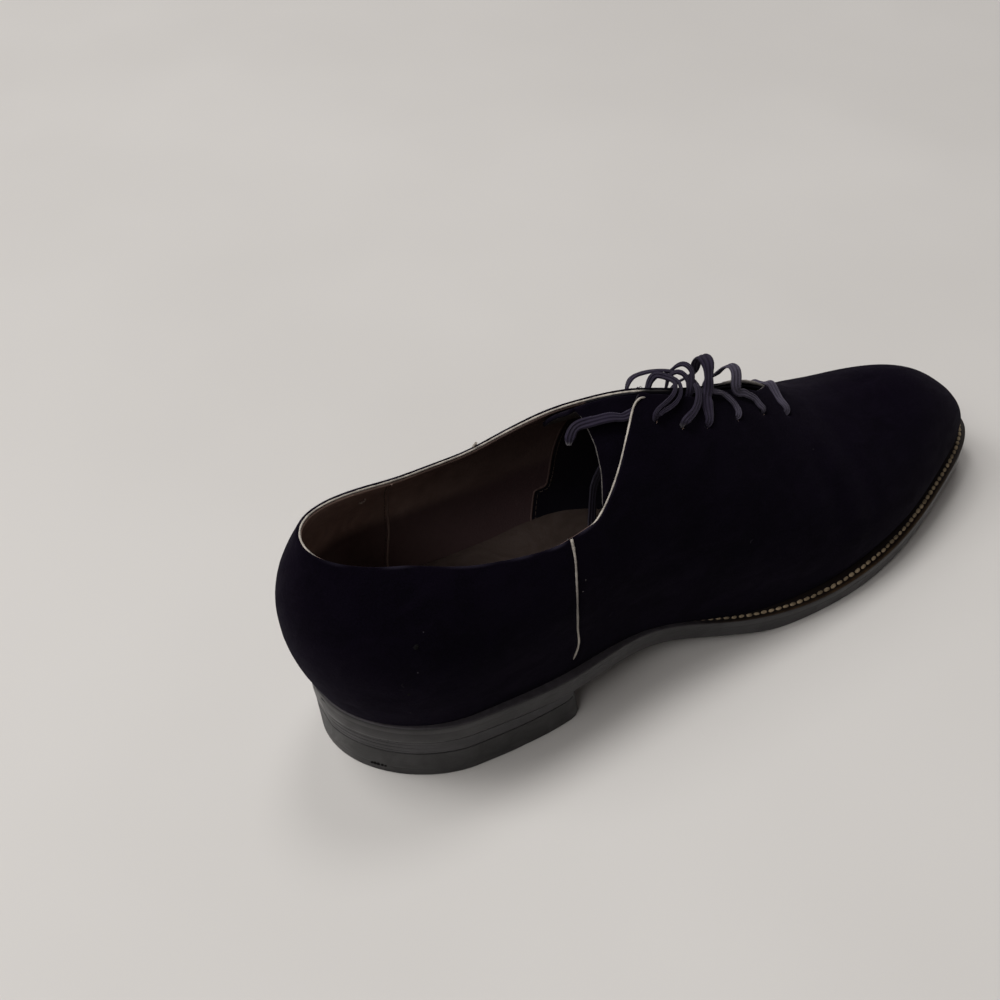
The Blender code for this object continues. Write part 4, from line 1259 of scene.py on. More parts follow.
def make_piping(mat):
    """Cord covered in pale leather round the topline and down the slit."""
    parts, darkened = [], []
    for side in (-1, 1):
        k = np.linspace(0, 1, 260) ** 1.6
        t1, c1 = topline_share(k, side)
        q = np.linspace(0, 0.985, 90)[1:]
        t2, c2 = slit_share(q, side)
        t, c = np.concatenate([t1, t2]), np.concatenate([c1, c2])
        share = np.concatenate([k, 1 + q])
        base = last(t, c, side)
        below = last(t, c - 0.03, side)
        b = unit(base - below)
        nn = unit(base - inside(np.clip(t, 0, 0.99), c, side, 1.0))
        # d says how far the cord is darkened: nearly black past the curl on the outer side, and along the slit on the
        # inner side.
        if side < 0:
            sink = np.interp(share, (0, .02, .06, .58, .66, 1, 2), (-0.10, -0.30, -1.25, -1.25, -0.10, 0.0, -0.10))
            r = np.interp(share, (0, 0.1, CURL, CURL + 0.04, 1.8, 1.9, 2), (0.36, 0.32, 0.34, 0.10, 0.10, 0.16, 0.34))
            d = np.interp(share, (0, CURL, CURL + 0.03, 1.8, 2), (0.0, 0.05, 0.97, 0.97, 0.72))
        else:
            sink = np.interp(share, (0, .05, .9, .985, 1.02, 1.18, 1.6, 1.7, 2),
                             (-0.10, 0.0, 0.05, 0.05, -0.45, -0.50, 0.1, 0.55, 0.45))
            r = np.interp(share, (0, 0.1, .9, 1, 1.06, 1.16, 1.22, 1.6, 1.68, 1.75, 1.93, 2),
                          (0.36, 0.34, 0.34, 0.34, 0.42, 0.42, 0.12, 0.12, 0.50, 0.66, 0.60, 0.34))
            d = np.interp(share, (0, .95, 0.985, 1.01, 1.16, 1.22, 1.6, 1.7, 1.9, 2),
                          (0.0, 0.05, 0.25, 0.86, 0.88, 0.97, 0.97, 0.62, 0.60, 0.66))
        depth = np.interp(share, (0, 1, 1.2, 2), (1.10, 1.00, 0.90, 0.80))
        path = base - nn * depth[:, None] + b * sink[:, None]
        path[:, 2] += 0.08
        if side > 0:
            path[:, 2] += np.interp(share, (0, 1.6, 1.72, 1.93, 2), (0, 0, 1.15, 1.0, 0))
        # Smooth the path so that the cord never kinks.
        for _ in range(12):
            path[1:-1] += (path[:-2] + path[2:] - 2 * path[1:-1]) * 0.25
        if side < 0:
            path[0, 1] = 0.0
        parts.append((path, r, d))
    out, inn = parts
    path = np.concatenate([out[0][::-1], inn[0][1:]])
    r = np.concatenate([out[1][::-1], inn[1][1:]])
    d = np.concatenate([out[2][::-1], inn[2][1:]])
    for _ in range(3):
        path[1:-1] += (path[:-2] + path[2:] - 2 * path[1:-1]) * 0.25
    # Even steps along the cord.
    run = np.concatenate([[0], np.cumsum(np.linalg.norm(np.diff(path, axis=0), axis=1))])
    even = np.linspace(0, run[-1], 560)
    path = np.stack([np.interp(even, run, path[:, i]) for i in range(3)], -1)
    r = np.interp(even, run, r) * (1 + 0.07 * np.sin(even / 1.9) + 0.08 * np.sin(even / 0.83)
                                   + 0.07 * np.sin(even / 0.47 + np.sin(even / 5)))
    d = np.interp(even, run, d)
    parts = [tube_mesh(tube(path, r, 12))]
    darkening = [np.repeat(d, 12)]
    # On the outer side the cord's own end curls on over the suede.
    t, c = topline_share(np.array([CURL - 0.035, CURL]), -1)
    t = np.concatenate([t, (0.4115, 0.4196, 0.4271, 0.4327)])
    c = np.concatenate([c, (0.786, 0.828, 0.848, 0.849)])
    deep = (0.9, 0.6, 0.05, -0.15, -0.10, 0.25)
    curl = curve_through([inside(a, b, -1, v) for a, b, v in zip(t, c, deep)], 0.25)
    curl[:, 2] += 0.10
    s = np.linspace(0, 1, len(curl))
    r = 0.37 * np.interp(s, (0, 0.3, 0.9, 1), (0.7, 1.0, 1.0, 0.6)) * (1 + 0.07 * np.sin(s * 47))
    parts.append(tube_mesh(tube(curl, r, 12)))
    darkening.append(np.repeat(np.interp(s, (0, 0.7, 1), (0.0, 0.1, 0.4)), 12))
    points, faces = gather(parts)
    return piece("collar_piping", points, faces, [mat], layers={"darkened": np.concatenate(darkening)}, angle=70)


def make_seam_piping(mat):
    out = []
    for side, name in ((-1, "quarter_seam_piping_out"), (1, "quarter_seam_piping_in")):
        path = seam_line(side, 0.02, 150)
        path[:, 2] += 0.08
        s = np.linspace(0, 1, len(path))
        r = 0.36 * (1 + 0.07 * np.sin(s * 61) + 0.08 * np.sin(s * 143) + 0.06 * np.sin(s * 29)) \
            * np.interp(s, (0, 0.04, 0.12, 0.93, 1), (1.35, 1.3, 1, 1.05, 0.5))
        n = unit(seam_line(side, -1.0, 150) - seam_line(side, 0.0, 150))
        rings = tube(path, r, 12, up=n)
        points, faces = tube_mesh(rings)
        # How far the cord is darkened along the seam.
        darkened = np.interp(s, (0, 0.06, 0.2, 0.45, 0.7, 1), (0.0, 0.05, 0.42, 0.5, 0.2, 0.45))
        out.append(piece(name, points, faces, [mat], layers={"darkened": np.repeat(darkened, 12)}, angle=70))
    return out


def make_lining_seams(thread, lining):
    """The lining's joining seam, its stitch rows and the quarter lining's edge."""
    parts, tapes = [], []
    for side in (-1, 1):
        c = np.linspace(0.44 if side < 0 else 0.52, -0.92, 60)
        t = np.interp(c, (-0.92, -0.686, -0.2, 0.066, 0.24, 0.6), (0.150, 0.153, 0.162, 0.165, 0.163, 0.146))
        line = inside(t, c, side, WALL - 0.02)
        n = unit(line - inside(t, c, side, WALL - 1))
        tan = unit(np.gradient(line, axis=0))
        w = np.cross(tan, n)
        tapes.append(tube_mesh(tube(line, 0.40, 10, 0.42, up=n)))
        for off in (1.35,):
            row = line + w * off + n * 0.03
            run = np.concatenate([[0], np.cumsum(np.linalg.norm(np.diff(row, axis=0), axis=1))])
            for a in np.arange(1.0, run[-1] - 1.5, 2.1):
                s = np.linspace(a, a + 1.45, 5)
                p = np.stack([np.interp(s, run, row[:, i]) for i in range(3)], -1)
                nn = np.stack([np.interp(s, run, n[:, i]) for i in range(3)], -1)
                h = np.array([-0.05, 0.08, 0.11, 0.08, -0.05])[:, None]
                parts.append(tube_mesh(tube(p + nn * h, 0.13, 6)))
        # Front edge of the quarter lining.
        c = np.linspace(0.50 if side < 0 else 0.62, -0.92, 70)
        t = np.interp(c, (-0.92, -0.735, -0.481, -0.158, -0.129, 0.066, 0.62),
                      (0.346, 0.349, 0.357, 0.365, 0.380, 0.386, 0.386)) + 0.0015
        line = inside(t, c, side, WALL + 0.05)
        for _ in range(3):
            line[1:-1] += (line[:-2] + line[2:] - 2 * line[1:-1]) * 0.25
        n = unit(line - inside(t, c, side, WALL - 1))
        tapes.append(tube_mesh(tube(line, 0.42, 10, 0.7, up=n)))
        w = np.cross(unit(np.gradient(line, axis=0)), n)
        row = line - w * 1.8 * (1 if side > 0 else -1)
        run = np.concatenate([[0], np.cumsum(np.linalg.norm(np.diff(row, axis=0), axis=1))])
        for a in np.arange(1.0, run[-1] - 1.5, 2.2):
            s = np.linspace(a, a + 1.5, 5)
            p = np.stack([np.interp(s, run, row[:, i]) for i in range(3)], -1)
            nn = np.stack([np.interp(s, run, n[:, i]) for i in range(3)], -1)
            h = np.array([-0.05, 0.08, 0.11, 0.08, -0.05])[:, None]
            parts.append(tube_mesh(tube(p + nn * h, 0.13, 6)))
    a = join_pieces("lining_stitches", parts, [thread], None, 70)
    b = join_pieces("lining_seam_folds", tapes, [lining], None, 70)
    x = np.array([v.co.x for v in b.data.vertices]) * 1000 + 146.455
    # The seam tapes take the lining's darkening too, partly painted shade: a fixed share of low, and fore toward the
    # front; mark is their pale line behind x 75.
    for key in ("low", "fore", "vamp", "mark"):
        layer = b.data.attributes.new(key, "FLOAT", "POINT")
        value = np.clip((x - 18) / 75, 0, 1) if key == "fore" else np.full(len(x), 0.35 if key == "low" else 0.0)
        if key == "mark":
            value = np.where(x < 75, 0.30, 0.0)
        layer.data.foreach_set("value", value.astype(np.float32))
    return a, b


# ---- tongue and sock --------------------------------------------------------
def make_tongue(suede, raw):
    rows, cols = 84, 45
    s = np.linspace(-1, 1, cols)
    known = np.abs(s) > 0.42
    grid, normal = [], []
    for t in np.linspace(TONGUE[0][0], TONGUE[-1][0], rows):
        p = np.zeros((cols, 3))
        for side in (-1, 1):
            c_edge = float(steady(t, [(r[0], r[1] if side > 0 else r[2]) for r in TONGUE]))
            here = known & (np.sign(s) == side)
            # The free end bows a little toward the heel on the outer side.
            bow = np.interp(np.abs(s[here]), (0, 0.3, 0.6, 0.8, 1.0), (0.006, 0.010, 0.010, 0.005, -0.006))
            bow = bow * (side < 0) * np.clip(1 - (t - TONGUE[0][0]) / 0.06, 0, 1)
            p[here] = inside(t + bow, 1 - (1 - c_edge) * np.abs(s[here]), side, TONGUE_DEPTH + 0.05)
        k = np.flatnonzero(known)
        for i in range(3):
            p[~known, i] = smooth(s[~known], s[k], p[k, i])
        grid.append(p)
    g = np.array(grid)
    # The free end is pressed and a little wavy.
    fade = np.clip(1 - np.arange(rows) / 22, 0, 1)[:, None] ** 2
    g[..., 2] += 0.35 * fade * np.sin(s * 7 + 0.6)[None] * (1 - np.abs(s))[None]
    n = unit(np.cross(np.gradient(g, axis=0), np.gradient(g, axis=1)))
    n *= np.sign(n[..., 2:].mean())
    for _ in range(30):
        n[:, 1:-1] = unit(n[:, :-2] + 2 * n[:, 1:-1] + n[:, 2:])
    centre = g[:, [cols // 2]]
    low = g - n * 1.5
    low[..., 0] = g[..., 0] - np.clip(n[..., 0] * 1.5, -0.6, 0.6)
    parts = [(g.reshape(-1, 3), quads(rows, cols)), (low.reshape(-1, 3), quads(rows, cols))]
    index = [0] * ((rows - 1) * (cols - 1)) + [1] * ((rows - 1) * (cols - 1))
    k = 5
    a = np.linspace(0, math.pi, k)

    def border(o, i, outward, slot_):
        mid, arm = (o + i) / 2, (o - i) / 2
        rim = (mid[:, None] + np.cos(a)[None, :, None] * arm[:, None]
               + np.sin(a)[None, :, None] * 0.45 * outward[:, None])
        parts.append((rim.reshape(-1, 3), quads(len(o), k)))
        index.extend([slot_] * ((len(o) - 1) * (k - 1)))

    zero = np.clip(np.minimum(np.arange(cols), cols - 1 - np.arange(cols)) / 2.0, 0, 1)[:, None]
    border(g[0], low[0], unit(g[0] - g[1]) * zero, 0)
    border(g[-1], low[-1], unit(g[-1] - g[-2]) * zero, 0)
    zero = np.clip(np.minimum(np.arange(rows), rows - 1 - np.arange(rows)) / 2.0, 0, 1)[:, None]
    border(g[:, 0], low[:, 0], unit(g[:, 0] - g[:, 1]) * zero, 0)
    border(g[:, -1], low[:, -1], unit(g[:, -1] - g[:, -2]) * zero, 0)
    points, faces = gather(parts)
    tongue = piece("tongue_suede", points, faces, [suede, raw], index, weld=0.01, angle=60)
    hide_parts("tongue")
    # Thin, broken pale line along the tongue's free end, and a few stitches.
    near = s < -0.22
    line = (g[0] + unit(g[0] - g[1]) * 0.40 - n[0] * 0.55)[near]
    steps = np.linspace(0, 1, 90)
    line = np.stack([np.interp(steps, np.linspace(0, 1, len(line)), line[:, i]) for i in range(3)], -1)
    r = 0.19 * np.interp(steps, (0, 0.08, 0.9, 1), (0.5, 1, 1, 0.4)) * (1 + 0.35 * np.sin(steps * 67) * np.sin(steps * 23 + 1))
    darkening = np.clip(0.42 + 0.55 * np.sin(steps * 41) * np.sin(steps * 13 + 0.7) + 0.35 * (steps < 0.25), 0, 0.97)
    bits = [tube_mesh(tube(line, r, 8))]
    darkened = [np.repeat(darkening, 8)]
    for a in range(4):
        row = g[6 + 0, near] * 0.5 + g[7, near] * 0.5 - n[6, near] * 1.55
        u = np.linspace(0.50 + 0.085 * a, 0.545 + 0.085 * a, 5)
        q = np.stack([np.interp(u, np.linspace(0, 1, len(row)), row[:, i]) for i in range(3)], -1)
        bits.append(tube_mesh(tube(q, 0.10, 6)))
        darkened.append(np.full(30, 0.62))
    edge_points, edge_faces = gather(bits)
    trim = piece("tongue_raw_edge", edge_points, edge_faces, [raw], angle=70, layers={"darkened": np.concatenate(darkened)})
    return tongue, trim


def make_sock(mat):
    """Insole covered by its sock: a closed slab, edges rolled, softly dished."""
    rows, k = 150, 41
    t = spread_even(rows)
    rings = []
    for s in t:
        x, y1, _ = seat_line(s, 1, WALL + 1.0)
        _, y0, _ = seat_line(s, -1, WALL + 1.0)
        lo, hi = float(sole_top(x)) + GAP, float(seat_z(x)) + SOCK_RISE
        u = np.linspace(0, 1, k)
        # The sock turns up along the arch on the inner side.
        climb = 6.5 * float(np.exp(-((float(x) - 118) / 34.0) ** 2))
        out_ = float(inside(s, np.clip(-1 + climb / 18.0, -1, 0), 1, WALL + 0.5)[1]) - y1
        y = y0 + (y1 - y0) * u + max(0.0, out_) * np.clip((u - 0.6) / 0.4, 0, 1) ** 1.5
        e = np.minimum(u, 1 - u) * (y1 - y0)
        dish = -0.55 * np.clip(e / 12, 0, 1) ** 1.5 * (1 if x < 90 else 0.7)
        roll = -0.5 * (1 - np.sqrt(np.clip(1 - (1 - np.clip(e / 0.6, 0, 1)) ** 2, 0, 1)))
        rise = climb * np.clip((u - 0.42) / 0.58, 0, 1) ** 1.8
        top = np.stack([np.full(k, float(x)), y, hi + dish + roll + rise], -1)
        bottom = np.stack([np.full(k, float(x)), y0 + (y1 - y0) * u, np.full(k, lo)], -1)[::-1]
        rings.append(np.concatenate([top, bottom]))
    rings = np.array(rings)
    p = rings[:, :k]
    rings[:, :k, 2] += 0.12 * ripple(p, 26, 31) + 0.05 * ripple(p, 8, 32)
    points, faces = tube_mesh(rings)
    obj = piece("sock", points, faces, [mat], angle=50)
    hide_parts("insole")
    return obj


def spread_even(n, ends=0.02):
    a = np.linspace(ends, math.pi - ends, n)
    return (1 - np.cos(a)) / 2 * 0.5 + 0.5 * np.linspace(0.001, 0.999, n)


# ---- sole -------------------------------------------------------------------
def section_ring(x, y0, y1, lo, hi, top_r=0.35, low_r=0.7, bulge=0.25, n_low=14, n_top=10):
    """Cross section with rounded edges, from the outer top corner round."""
    half = (y1 - y0) / 2
    k = min(1.0, half / 3.0)
    top_r, low_r, bulge = top_r * k, low_r * k, bulge * k
    pts = []
    a = np.linspace(0, math.pi / 2, 5)
    for ang in a:                       # outer top corner
        pts.append((y0 + top_r * (1 - math.sin(ang)), hi - top_r * (1 - math.cos(ang))))
    for s in np.linspace(0, 1, 5)[1:-1]:
        z = (hi - top_r) + (lo + low_r - hi + top_r) * s
        pts.append((y0 - bulge * math.sin(s * math.pi), z))
    for ang in a:                       # outer bottom corner
        pts.append((y0 + low_r * (1 - math.cos(ang)), lo + low_r * (1 - math.sin(ang))))
    for s in np.linspace(0, 1, n_low + 1)[1:-1]:
        pts.append((y0 + low_r + (y1 - y0 - 2 * low_r) * s, lo))
    right = [(y1 - (y - y0), z) for y, z in pts[:13]][::-1]
    pts = pts[:13] + pts[13:] + right
    for s in np.linspace(0, 1, n_top + 1)[1:-1]:
        pts.append((y1 - top_r - (y1 - y0 - 2 * top_r) * s, hi))
    return [(x, y, z) for y, z in pts]


def make_outsole(mat, tread):
    """Leather outsole: inked edge, rounded below, with the tread side worn."""
    rows = []
    for x in LENGTH * spread_even(210, 0.012):
        y0, y1 = float(edge(x, -1)), float(edge(x, 1))
        rows.append(section_ring(x, y0, y1, float(tread_z(x)) if not (172 < x < 206) else 0.0,
                                 float(sole_top(x)) + 0.1, 0.06, 0.95, 0.12))
    rings = np.array(rows)
    # Uneven trimming of the edge, by hand.
    rings[..., 1] += 0.06 * ripple(rings, 15, 61) * np.clip((rings[..., 2] - 0.2) / 2, 0, 1)
    points, faces = tube_mesh(rings)
    n, m = rings.shape[:2]
    index = []
    low = set(range(12, 27))
    for i in range(n - 1):
        for j in range(m):
            index.append(1 if 12 <= j < 26 else 0)
    index += [0, 0]
    obj = piece("outsole_leather", points, faces, [mat, tread], index, angle=38)
    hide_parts("outsole")
    return obj


def outline_run(inset, n=1400, side_first=-1):
    """Closed line round the sole at an inset, from the heel round the outer side."""
    a = np.linspace(0, math.pi, n)
    s = (1 - np.cos(a)) / 2
    x = inset + s * (LENGTH - 2 * inset)
    out = np.stack([x, edge(x, -1, inset), np.zeros(n)], -1)
    inn = np.stack([x, edge(x, 1, inset), np.zeros(n)], -1)[::-1]
    return out, inn


def make_welt(mat, edge_mat):
    """Ring on the outsole: grooved top, rounded edge."""
    rows, gold, fore = [], [], []
    s = spread_even(260, 0.006)
    s[0], s[-1] = 0.0, 1.0
    profile_n = 14
    for side, order in ((1, s), (-1, s[::-1])):
        for u in order[:-1]:
            x = LENGTH * u
            y = float(edge(x, side))
            xi, yi, _ = (float(v) for v in seat_line(u, side, WALL))
            zo, zi = float(seat_z(x)), float(seat_z(xi))
            lo, li = float(sole_top(x)) + 0.12, float(sole_top(xi)) + 0.12
            o, i = np.array([x, y]), np.array([xi, yi])
            d = np.linalg.norm(i - o)
            w = (i - o) / max(d, 1e-6)
            r = 0.45
            cut = float(np.interp(x, (118, 150, 300), (0.0, 1.0, 1.0)))
            prof = [(0.0, -WELT_T - 0.30), (-0.10, -WELT_T * 0.6), (-0.08, -r - 0.3), (0.05, -0.30), (0.22, -0.10),
                    (0.50, 0.0), (0.95, 0.0), (1.6, -0.28 * cut), (2.9, -0.32 * cut), (3.8, -0.10 * cut),
                    (min(4.9, d * 0.75), 0.0), (d, 0.0), (d, -WELT_T + 0.12), (0.35, -WELT_T + 0.12)]
            row = []
            for away, h in prof:
                f = np.clip(away / max(d, 1e-6), -0.1, 1)
                q = o + w * min(away, d)
                z = zo + (zi - zo) * f + h
                row.append((q[0], q[1], z))
            rows.append(row)
            g = float(np.interp(x, (122, 150, 195, 240, 300), (0.0, 0.40, 0.9, 1.0, 1.0)))
            toe = float(np.interp(x, (0, 245, 280, 300), (1.0, 1.0, 0.35, 0.2)))
            gold += [g * k * toe for k in (0, .0, .10, .55, 1, 1, .7, .12, .05, .04, .03, .0, 0, 0)]
            fore += [g] * 14
    rings = np.array(rows)
    n, m = rings.shape[:2]
    faces = []
    for a in range(n):
        b = (a + 1) % n
        for j in range(m):
            k = (j + 1) % m
            faces.append((a * m + j, b * m + j, b * m + k, a * m + k))
    index = [1 if (f[0] % m) < 3 or (f[0] % m) == m - 1 else 0 for f in faces]
    obj = piece("welt_leather", rings.reshape(-1, 3), faces, [mat, edge_mat], index, angle=55,
                layers={"gold": gold, "forepart": fore})
    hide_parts("welt")
    return obj


STITCH_PITCH = ((203, 230), (3.3, 2.85))     # at stations along the shoe


def make_stitches(mat):
    """Pale oval stitches standing on the welt."""
    parts, fade, base = [], [], 0
    g = np.random.default_rng(77)
    out, inn = outline_run(2.45)
    line = np.concatenate([out, inn[1:]])
    line[:, 2] = [float(seat_z(x)) - 0.22 for x in line[:, 0]]
    run = np.concatenate([[0], np.cumsum(np.linalg.norm(np.diff(line, axis=0), axis=1))])
    ring_n, seg_n = 8, 7
    places, at = [], 0.8
    while at < run[-1] - 1:
        places.append(at)
        at += float(np.interp(np.interp(at, run, line[:, 0]), *STITCH_PITCH))
    for a in places:
        p = np.array([np.interp(a, run, line[:, i]) for i in range(3)])
        side = -1 if a < run[len(out) - 1] else 1
        x = p[0]
        strength = float(np.interp(x, (88, 116, 128, 145, 160, 176), (0.0, 0.05, 0.34, 0.62, 0.88, 1.0)))
        if x < 90 or strength <= 0:
            continue
        q = np.array([np.interp(a + 0.3, run, line[:, i]) for i in range(3)])
        tan = unit(q - p)
        up = np.array([0, 0, 1.0])
        w = np.cross(up, tan)
        size = 0.60 + 0.40 * strength
        half = (0.45 * float(np.interp(x, *STITCH_PITCH)) + g.normal(0, 0.06)) * size
        wide = (0.74 + g.normal(0, 0.05)) * size
        high = (0.58 + g.normal(0, 0.03)) * size
        tilt = math.radians(g.normal(9, 3))
        ca, sa = math.cos(tilt), math.sin(tilt)
        tan, w = tan * ca + w * sa, w * ca - tan * sa
        p = p + w * g.normal(0, 0.06) + up * (-0.10 * (1 - strength))
        v = np.linspace(-1, 1, seg_n)
        rr = np.sqrt(np.clip(1 - np.abs(v) ** 2.4, 0, 1)) * 0.97 + 0.03
        ang = np.linspace(0, 2 * math.pi, ring_n, endpoint=False)
        rings = (p + (v * half)[:, None, None] * tan + rr[:, None, None] *
                 (np.cos(ang)[None, :, None] * wide * w + np.sin(ang)[None, :, None] * high * up))
        parts.append(tube_mesh(rings))
        fade.append(np.full(ring_n * seg_n, 1 - strength))
    points, faces = gather(parts)
    return piece("welt_stitches", points, faces, [mat], layers={"fade": np.concatenate(fade)}, angle=70)


def heel_rings(low, high, groove=()):
    """Height of the heel seat, the order of points round the heel and the breast's place; the two heights low and
    high are not used.
    """
    top = float(seat_z(20.0))
    plan = []
    s = np.linspace(0, 1, 70) ** 1.7
    breast = HEEL_BREAST - HEEL_TAPER
    for side, order in ((-1, s), (1, s[::-1])):
        plan += [(side, v) for v in order]
    return top, plan, breast


def make_heel(name, low, high, mat, node, lines=(), low_r=0.35, high_r=0.25, under=None):
    """Heel slice from horizontal outlines, its edges rounded, lift lines cut in."""
    top = float(seat_z(20.0))
    n = 150
    rows = []
    a = np.linspace(0, math.pi / 2, 5)
    levels = [(low_r * (1 - math.sin(v)), v_low) for v, v_low in ((v, low_r * (1 - math.cos(v))) for v in a[::-1])]
    # share of height from bottom: list of (inset, offset from bottom, offset from top)
    steps = [(low_r * (1 - math.sin(v)), 0.0, ("low", low_r * (1 - math.cos(v)))) for v in a]
    body = []
    marks = sorted(set([round(v, 3) for v in np.linspace(0.04, 0.96, 16)]
                       + [round(L + d, 3) for L, _ in lines for d in (-0.035, -0.012, 0, 0.012, 0.035)]))
    for f in marks:
        inset = 0.0
        for L, depth in lines:
            inset += depth * math.exp(-((f - L) / 0.014) ** 2)
        body.append((0.0, inset, ("mid", f)))
    steps += body
    steps += [(high_r * (1 - math.cos(v)), 0.0, ("high", high_r * (1 - math.sin(v)))) for v in a]
    angle = np.linspace(0, 1, n)
    half = n // 2
    s_out = (np.linspace(0, 1, half) ** 1.9)
    order = [(-1, v) for v in s_out[::-1]] + [(1, v) for v in s_out[1:]]
    rings = []
    g = np.random.default_rng(5)
    for base_in, line_in, (kind, value) in steps:
        ring = []
        for side, v in order:
            x = HEEL_TAPER + v * (HEEL_BREAST - HEEL_TAPER)
            z0, z1 = float(low(x)), float(high(x))
            z = z0 + value if kind == "low" else (z1 - value if kind == "high" else z0 + (z1 - z0) * value)
            y = float(edge(x, side, HEEL_TAPER * (1 - z / top)))
            lean = BREAST_LEAN * z / top * v ** 4
            # Rounded front corners, and the edge's own rounding.
            corner = 6.5
            back = max(0.0, x - (HEEL_BREAST - corner)) / corner
            y -= side * corner * (1 - math.sqrt(max(0.0, 1 - back ** 2)))
            way = np.array([(x - 36) * 0.55, y])
            way /= np.linalg.norm(way)
            inset = base_in + line_in * float(np.interp(x, (0, 12, 22, 32), (1.0, 1.0, 0.4, 0.0)))
            ring.append((x - lean - way[0] * inset, y - way[1] * inset, z))
        # the breast, slightly hollow
        (xa, ya, za), (xb, yb, zb) = ring[0], ring[-1]
        for v in np.linspace(0, 1, 15)[1:-1]:
            hollow = 1.6 * math.sin(v * math.pi)
            x = xb + (xa - xb) * v - hollow
            y = yb + (ya - yb) * v
            xx = min(x, HEEL_BREAST)
            z0, z1 = float(low(xx)), float(high(xx))
            z = z0 + value if kind == "low" else (z1 - value if kind == "high" else z0 + (z1 - z0) * value)
            ring.append((x, y, z))
        rings.append(ring)
    rings = np.array(rings)
    rings[..., 1] += 0.05 * ripple(rings, 13, 71) * np.sign(rings[..., 1])
    points, faces = tube_mesh(rings)
    mats = [mat] + ([under] if under else [])
    index = [0] * len(faces)
    if under:
        index[-2] = 1
    obj = piece(name, points, faces, mats, index, angle=34)
    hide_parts(node)
    return obj


# ---- small things -----------------------------------------------------------
def blob(p, n, size, seed, flat=0.6):
    """Small irregular speck lying on a surface with normal n."""
    g = np.random.default_rng(seed)
    n = unit(np.asarray(n, float))
    a = unit(np.cross(n, g.normal(size=3)))
    b = np.cross(n, a)
    rings = []
    for v in np.linspace(-0.95, 0.95, 6):
        r = math.sqrt(1 - v * v)
        ang = np.linspace(0, 2 * math.pi, 9, endpoint=False)
        k = size * (1 + 0.22 * np.sin(ang * 2 + g.uniform(0, 6)) + 0.15 * np.sin(ang * 3 + g.uniform(0, 6)))
        rings.append(np.asarray(p) + (np.cos(ang) * k * r)[:, None] * a + (np.sin(ang) * k * r)[:, None] * b
                     + n * (v * size * flat))
    return tube_mesh(np.array(rings))


def on_outside(t, c, side, lift=0.05):
    p = inside(t, c, side, -lift)
    p[..., 2] += 0.08
    return p, unit(p - inside(t, c, side, 1.0))


def fibre_bit(t, c, side, size, seed, r=0.09):
    g = np.random.default_rng(seed)
    p, n = on_outside(t, c, side, 0.12)
    a = unit(np.cross(n, g.normal(size=3)))
    b = np.cross(n, a)
    s = np.linspace(-1, 1, 9)
    path = p + (s * size)[:, None] * a + (0.35 * size * np.sin(s * 3 + g.uniform(0, 6)))[:, None] * b \
        + (0.25 * np.abs(np.cos(s * 2)))[:, None] * n
    return tube_mesh(tube(path, np.full(9, r), 5))


def make_specks(pale, dull, dark):
    """Lint and small blemishes lying on the suede and on the heel."""
    light, faint, black = [], [], []
    for t, c, size, seed in ((0.277, 0.255, 0.42, 3), (0.280, 0.165, 0.34, 4), (0.286, 0.205, 0.26, 5),
                             (0.277, 0.385, 0.30, 6), (0.262, 0.06, 0.22, 7)):
        p, n = on_outside(t, c, -1)
        light.append(blob(p, n, size * 0.8, seed))
    for t, c, size, seed in ((0.0852, 0.110, 0.24, 11), (0.144, -0.487, 0.26, 12), (0.0693, -0.544, 0.22, 13),
                             (0.0995, 0.274, 0.20, 14), (0.655, 0.55, 0.20, 15)):
        p, n = on_outside(t, c, -1)
        faint.append(blob(p, n, size, seed))
    for t, c, side, size, seed in ((0.32, -0.1, -1, 1.5, 21), (0.07, 0.05, -1, 1.4, 23), (0.52, 0.2, -1, 1.4, 25),
                                   (0.35, 0.1, 1, 1.5, 27), (0.12, 0.1, 1, 1.4, 28), (0.55, 0.3, 1, 1.4, 29)):
        faint.append(fibre_bit(t, c, side, size * 0.6, seed, 0.04))
    for t, c, size, seed in ((0.0895, 0.222, 0.80, 31), (0.073, -0.02, 0.55, 32)):
        p, n = on_outside(t, c, -1)
        black.append(blob(p, n, size, seed, 0.45))
    # A nick and a few dashes in the heel's edge.
    for x, z, size, seed in ((8.3, 3.9, 0.7, 41), (9.0, 4.0, 0.8, 42), (9.8, 4.05, 0.85, 43), (10.7, 4.1, 0.75, 44), (11.5, 3.95, 0.6, 48),
                             (10.6, 21.2, 0.22, 45), (12.6, 21.1, 0.25, 46), (14.8, 21.0, 0.22, 47)):
        y = float(edge(x, -1, HEEL_TAPER * (1 - z / float(seat_z(20.0))))) - 0.02
        black.append(blob((x, y, z), ((x - 36) * 0.55, y, 0), size, seed, 0.08))
    return (join_pieces("suede_lint", light, [pale], None, 70), join_pieces("suede_faint_lint", faint, [dull], None, 70),
            join_pieces("dark_specks", black, [dark], None, 70))


